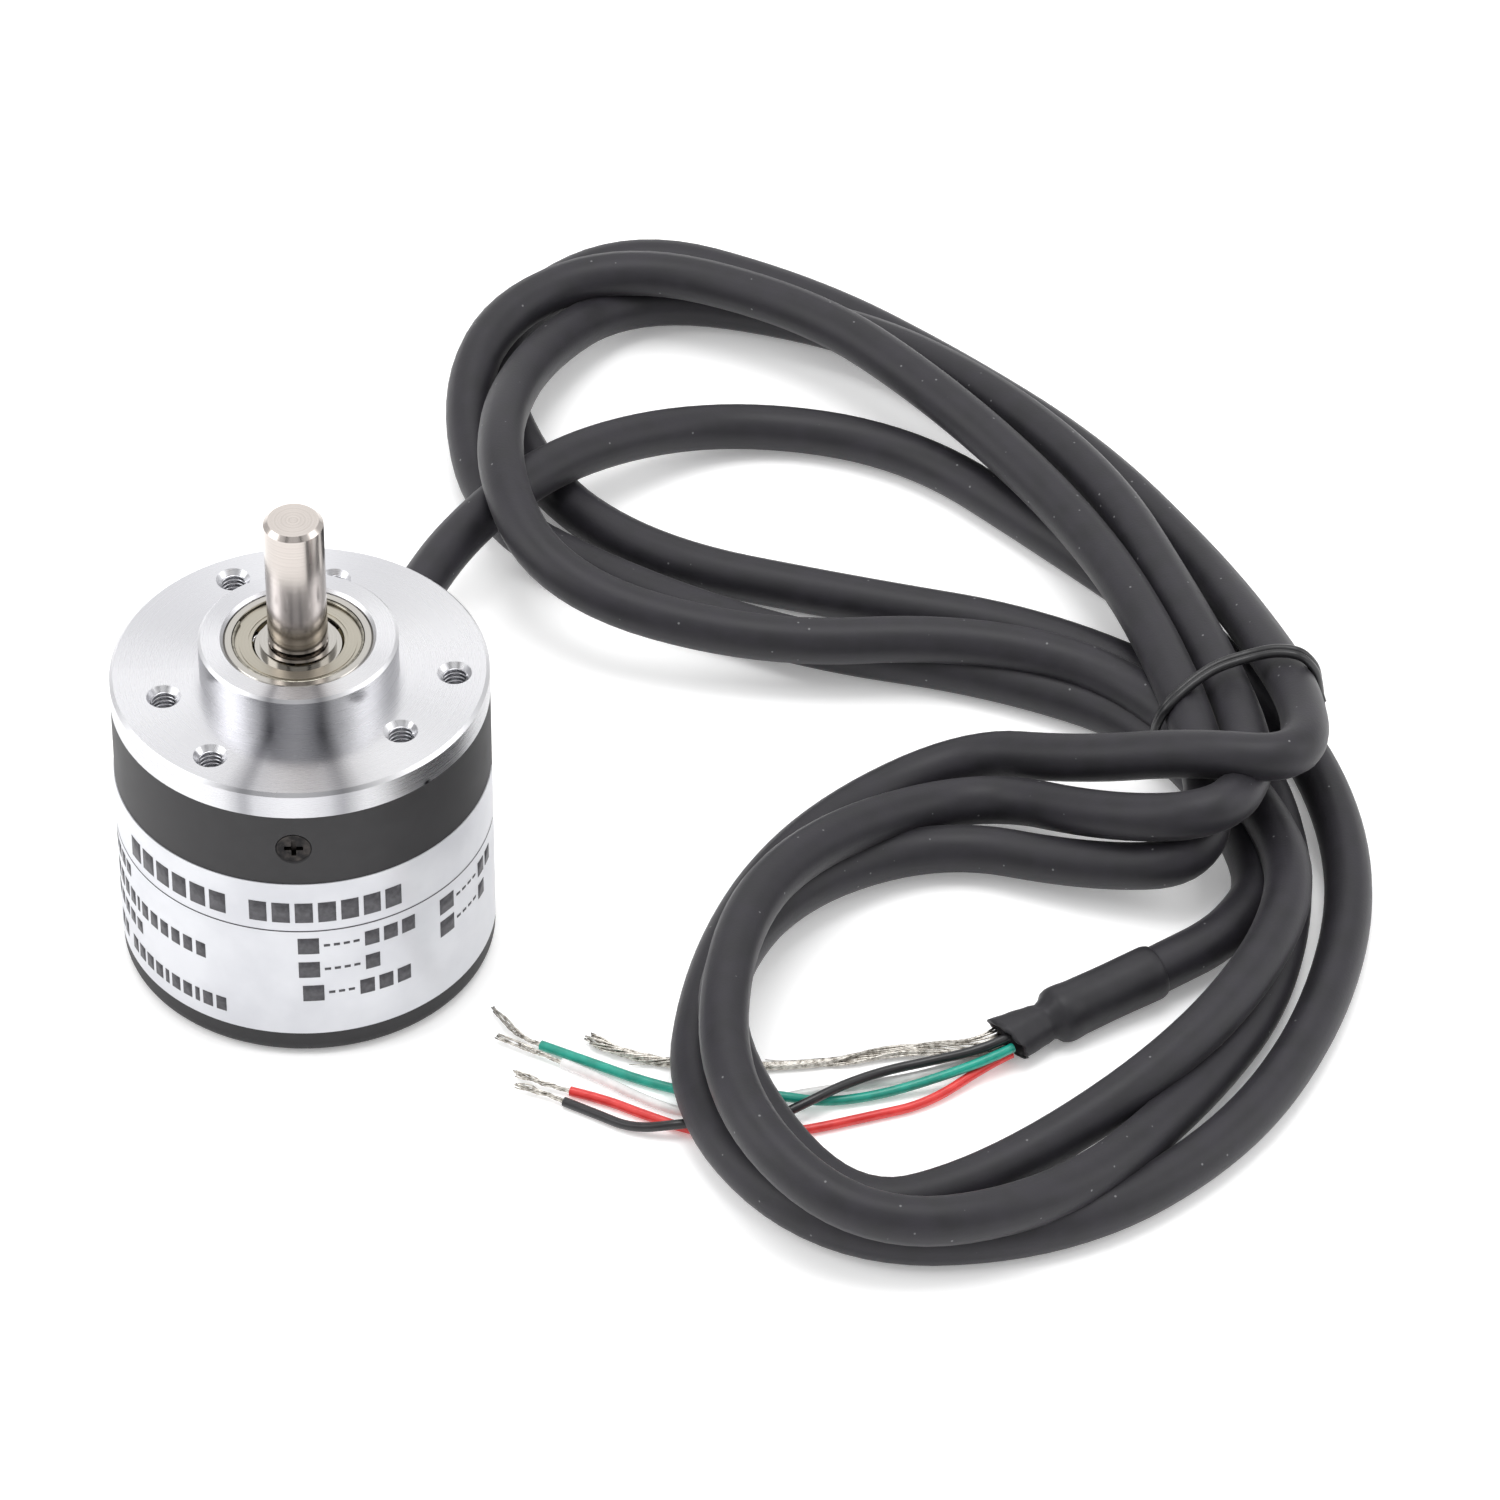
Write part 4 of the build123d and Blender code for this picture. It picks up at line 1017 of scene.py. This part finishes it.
# floor and studio light, in metres and watts; the floor glows a little, so that it stays white by the hank
floorSetup = {"size": 6, "place": (0.05, 0.0, -0.0001), "glow": 0.2}
worldSetup = {"code": "#FFFFFF", "strength": 0.8}
# lights: place, what it faces, width and height, power
softBoxes = {
    "leftBox": ((-0.85, -0.10, 0.60), (0.03, 0.0, 0.02), (0.5, 0.8), 4.2),
    "rightBox": ((0.95, -0.05, 0.55), (0.05, 0.0, 0.02), (0.5, 0.8), 2.8),
    "backBox": ((0.05, 1.1, 0.85), (0.05, 0.03, 0.02), (1.5, 0.5), 1.6),
    "topBox": ((0.05, 0.15, 1.3), (0.05, 0.0, 0.0), (0.7, 0.7), 7.5),
}
cardSetup = {"width": 0.3, "height": 2.0, "aim": (0.0, 0.0, 0.03),
             "places": {"leftCard": (-1.05, -1.95, 1.55), "rightCard": (1.25, -1.85, 1.55)}}


def makeFloor():
    bpy.ops.mesh.primitive_plane_add(size=floorSetup["size"], location=floorSetup["place"])
    floor = bpy.context.object
    floor.name = "studioFloor"
    # painted paper sweep: plain matt white
    material, tree, shader = newMaterial("whiteSweep", "#FDFDFD", Roughness=0.9, Specular_IOR_Level=0.1,
                                         Emission_Color=linear("#FFFFFF"),
                                         Emission_Strength=floorSetup["glow"])
    speckle(tree, shader, ("#FCFCFC", "#FEFEFE"), 60.0)
    giveMaterial(floor, material)


def makeWorld():
    world = bpy.data.worlds.new("studio")
    world.use_nodes = True
    sky = world.node_tree.nodes["Background"].inputs
    sky["Color"].default_value = linear(worldSetup["code"])
    sky["Strength"].default_value = worldSetup["strength"]
    scene.world = world


def faceTowards(thing, place, aim, axis):
    thing.location = place
    thing.rotation_euler = (Vector(aim) - Vector(place)).to_track_quat(axis, "Y").to_euler()


def softBox(name, place, aim, size, power):
    data = bpy.data.lights.new(name, "AREA")
    data.shape = "RECTANGLE"
    data.size, data.size_y = size
    data.energy = power
    lamp = bpy.data.objects.new(name, data)
    scene.collection.objects.link(lamp)
    faceTowards(lamp, place, aim, "-Z")


def darkCard(name, place):
    # an unlit card out of view, which puts a dark streak into the metal
    data = bpy.data.meshes.new(name)
    x, y = cardSetup["width"] / 2, cardSetup["height"] / 2
    data.from_pydata([(-x, -y, 0), (x, -y, 0), (x, y, 0), (-x, y, 0)], [], [(0, 1, 2, 3)])
    card = bpy.data.objects.new(name, data)
    scene.collection.objects.link(card)
    faceTowards(card, place, cardSetup["aim"], "Z")
    # wool felt: flat black
    material, tree, shader = newMaterial(name + "Felt", "#0A0A0A", Roughness=0.95, Specular_IOR_Level=0.0)
    speckle(tree, shader, ("#090909", "#0C0C0C"), 20.0)
    giveMaterial(card, material)


makeFloor()
makeWorld()
for name, setup in softBoxes.items():
    softBox(name, *setup)
for name, place in cardSetup["places"].items():
    darkCard(name, place)
scene.view_settings.view_transform = "Standard"
print("studio lit")
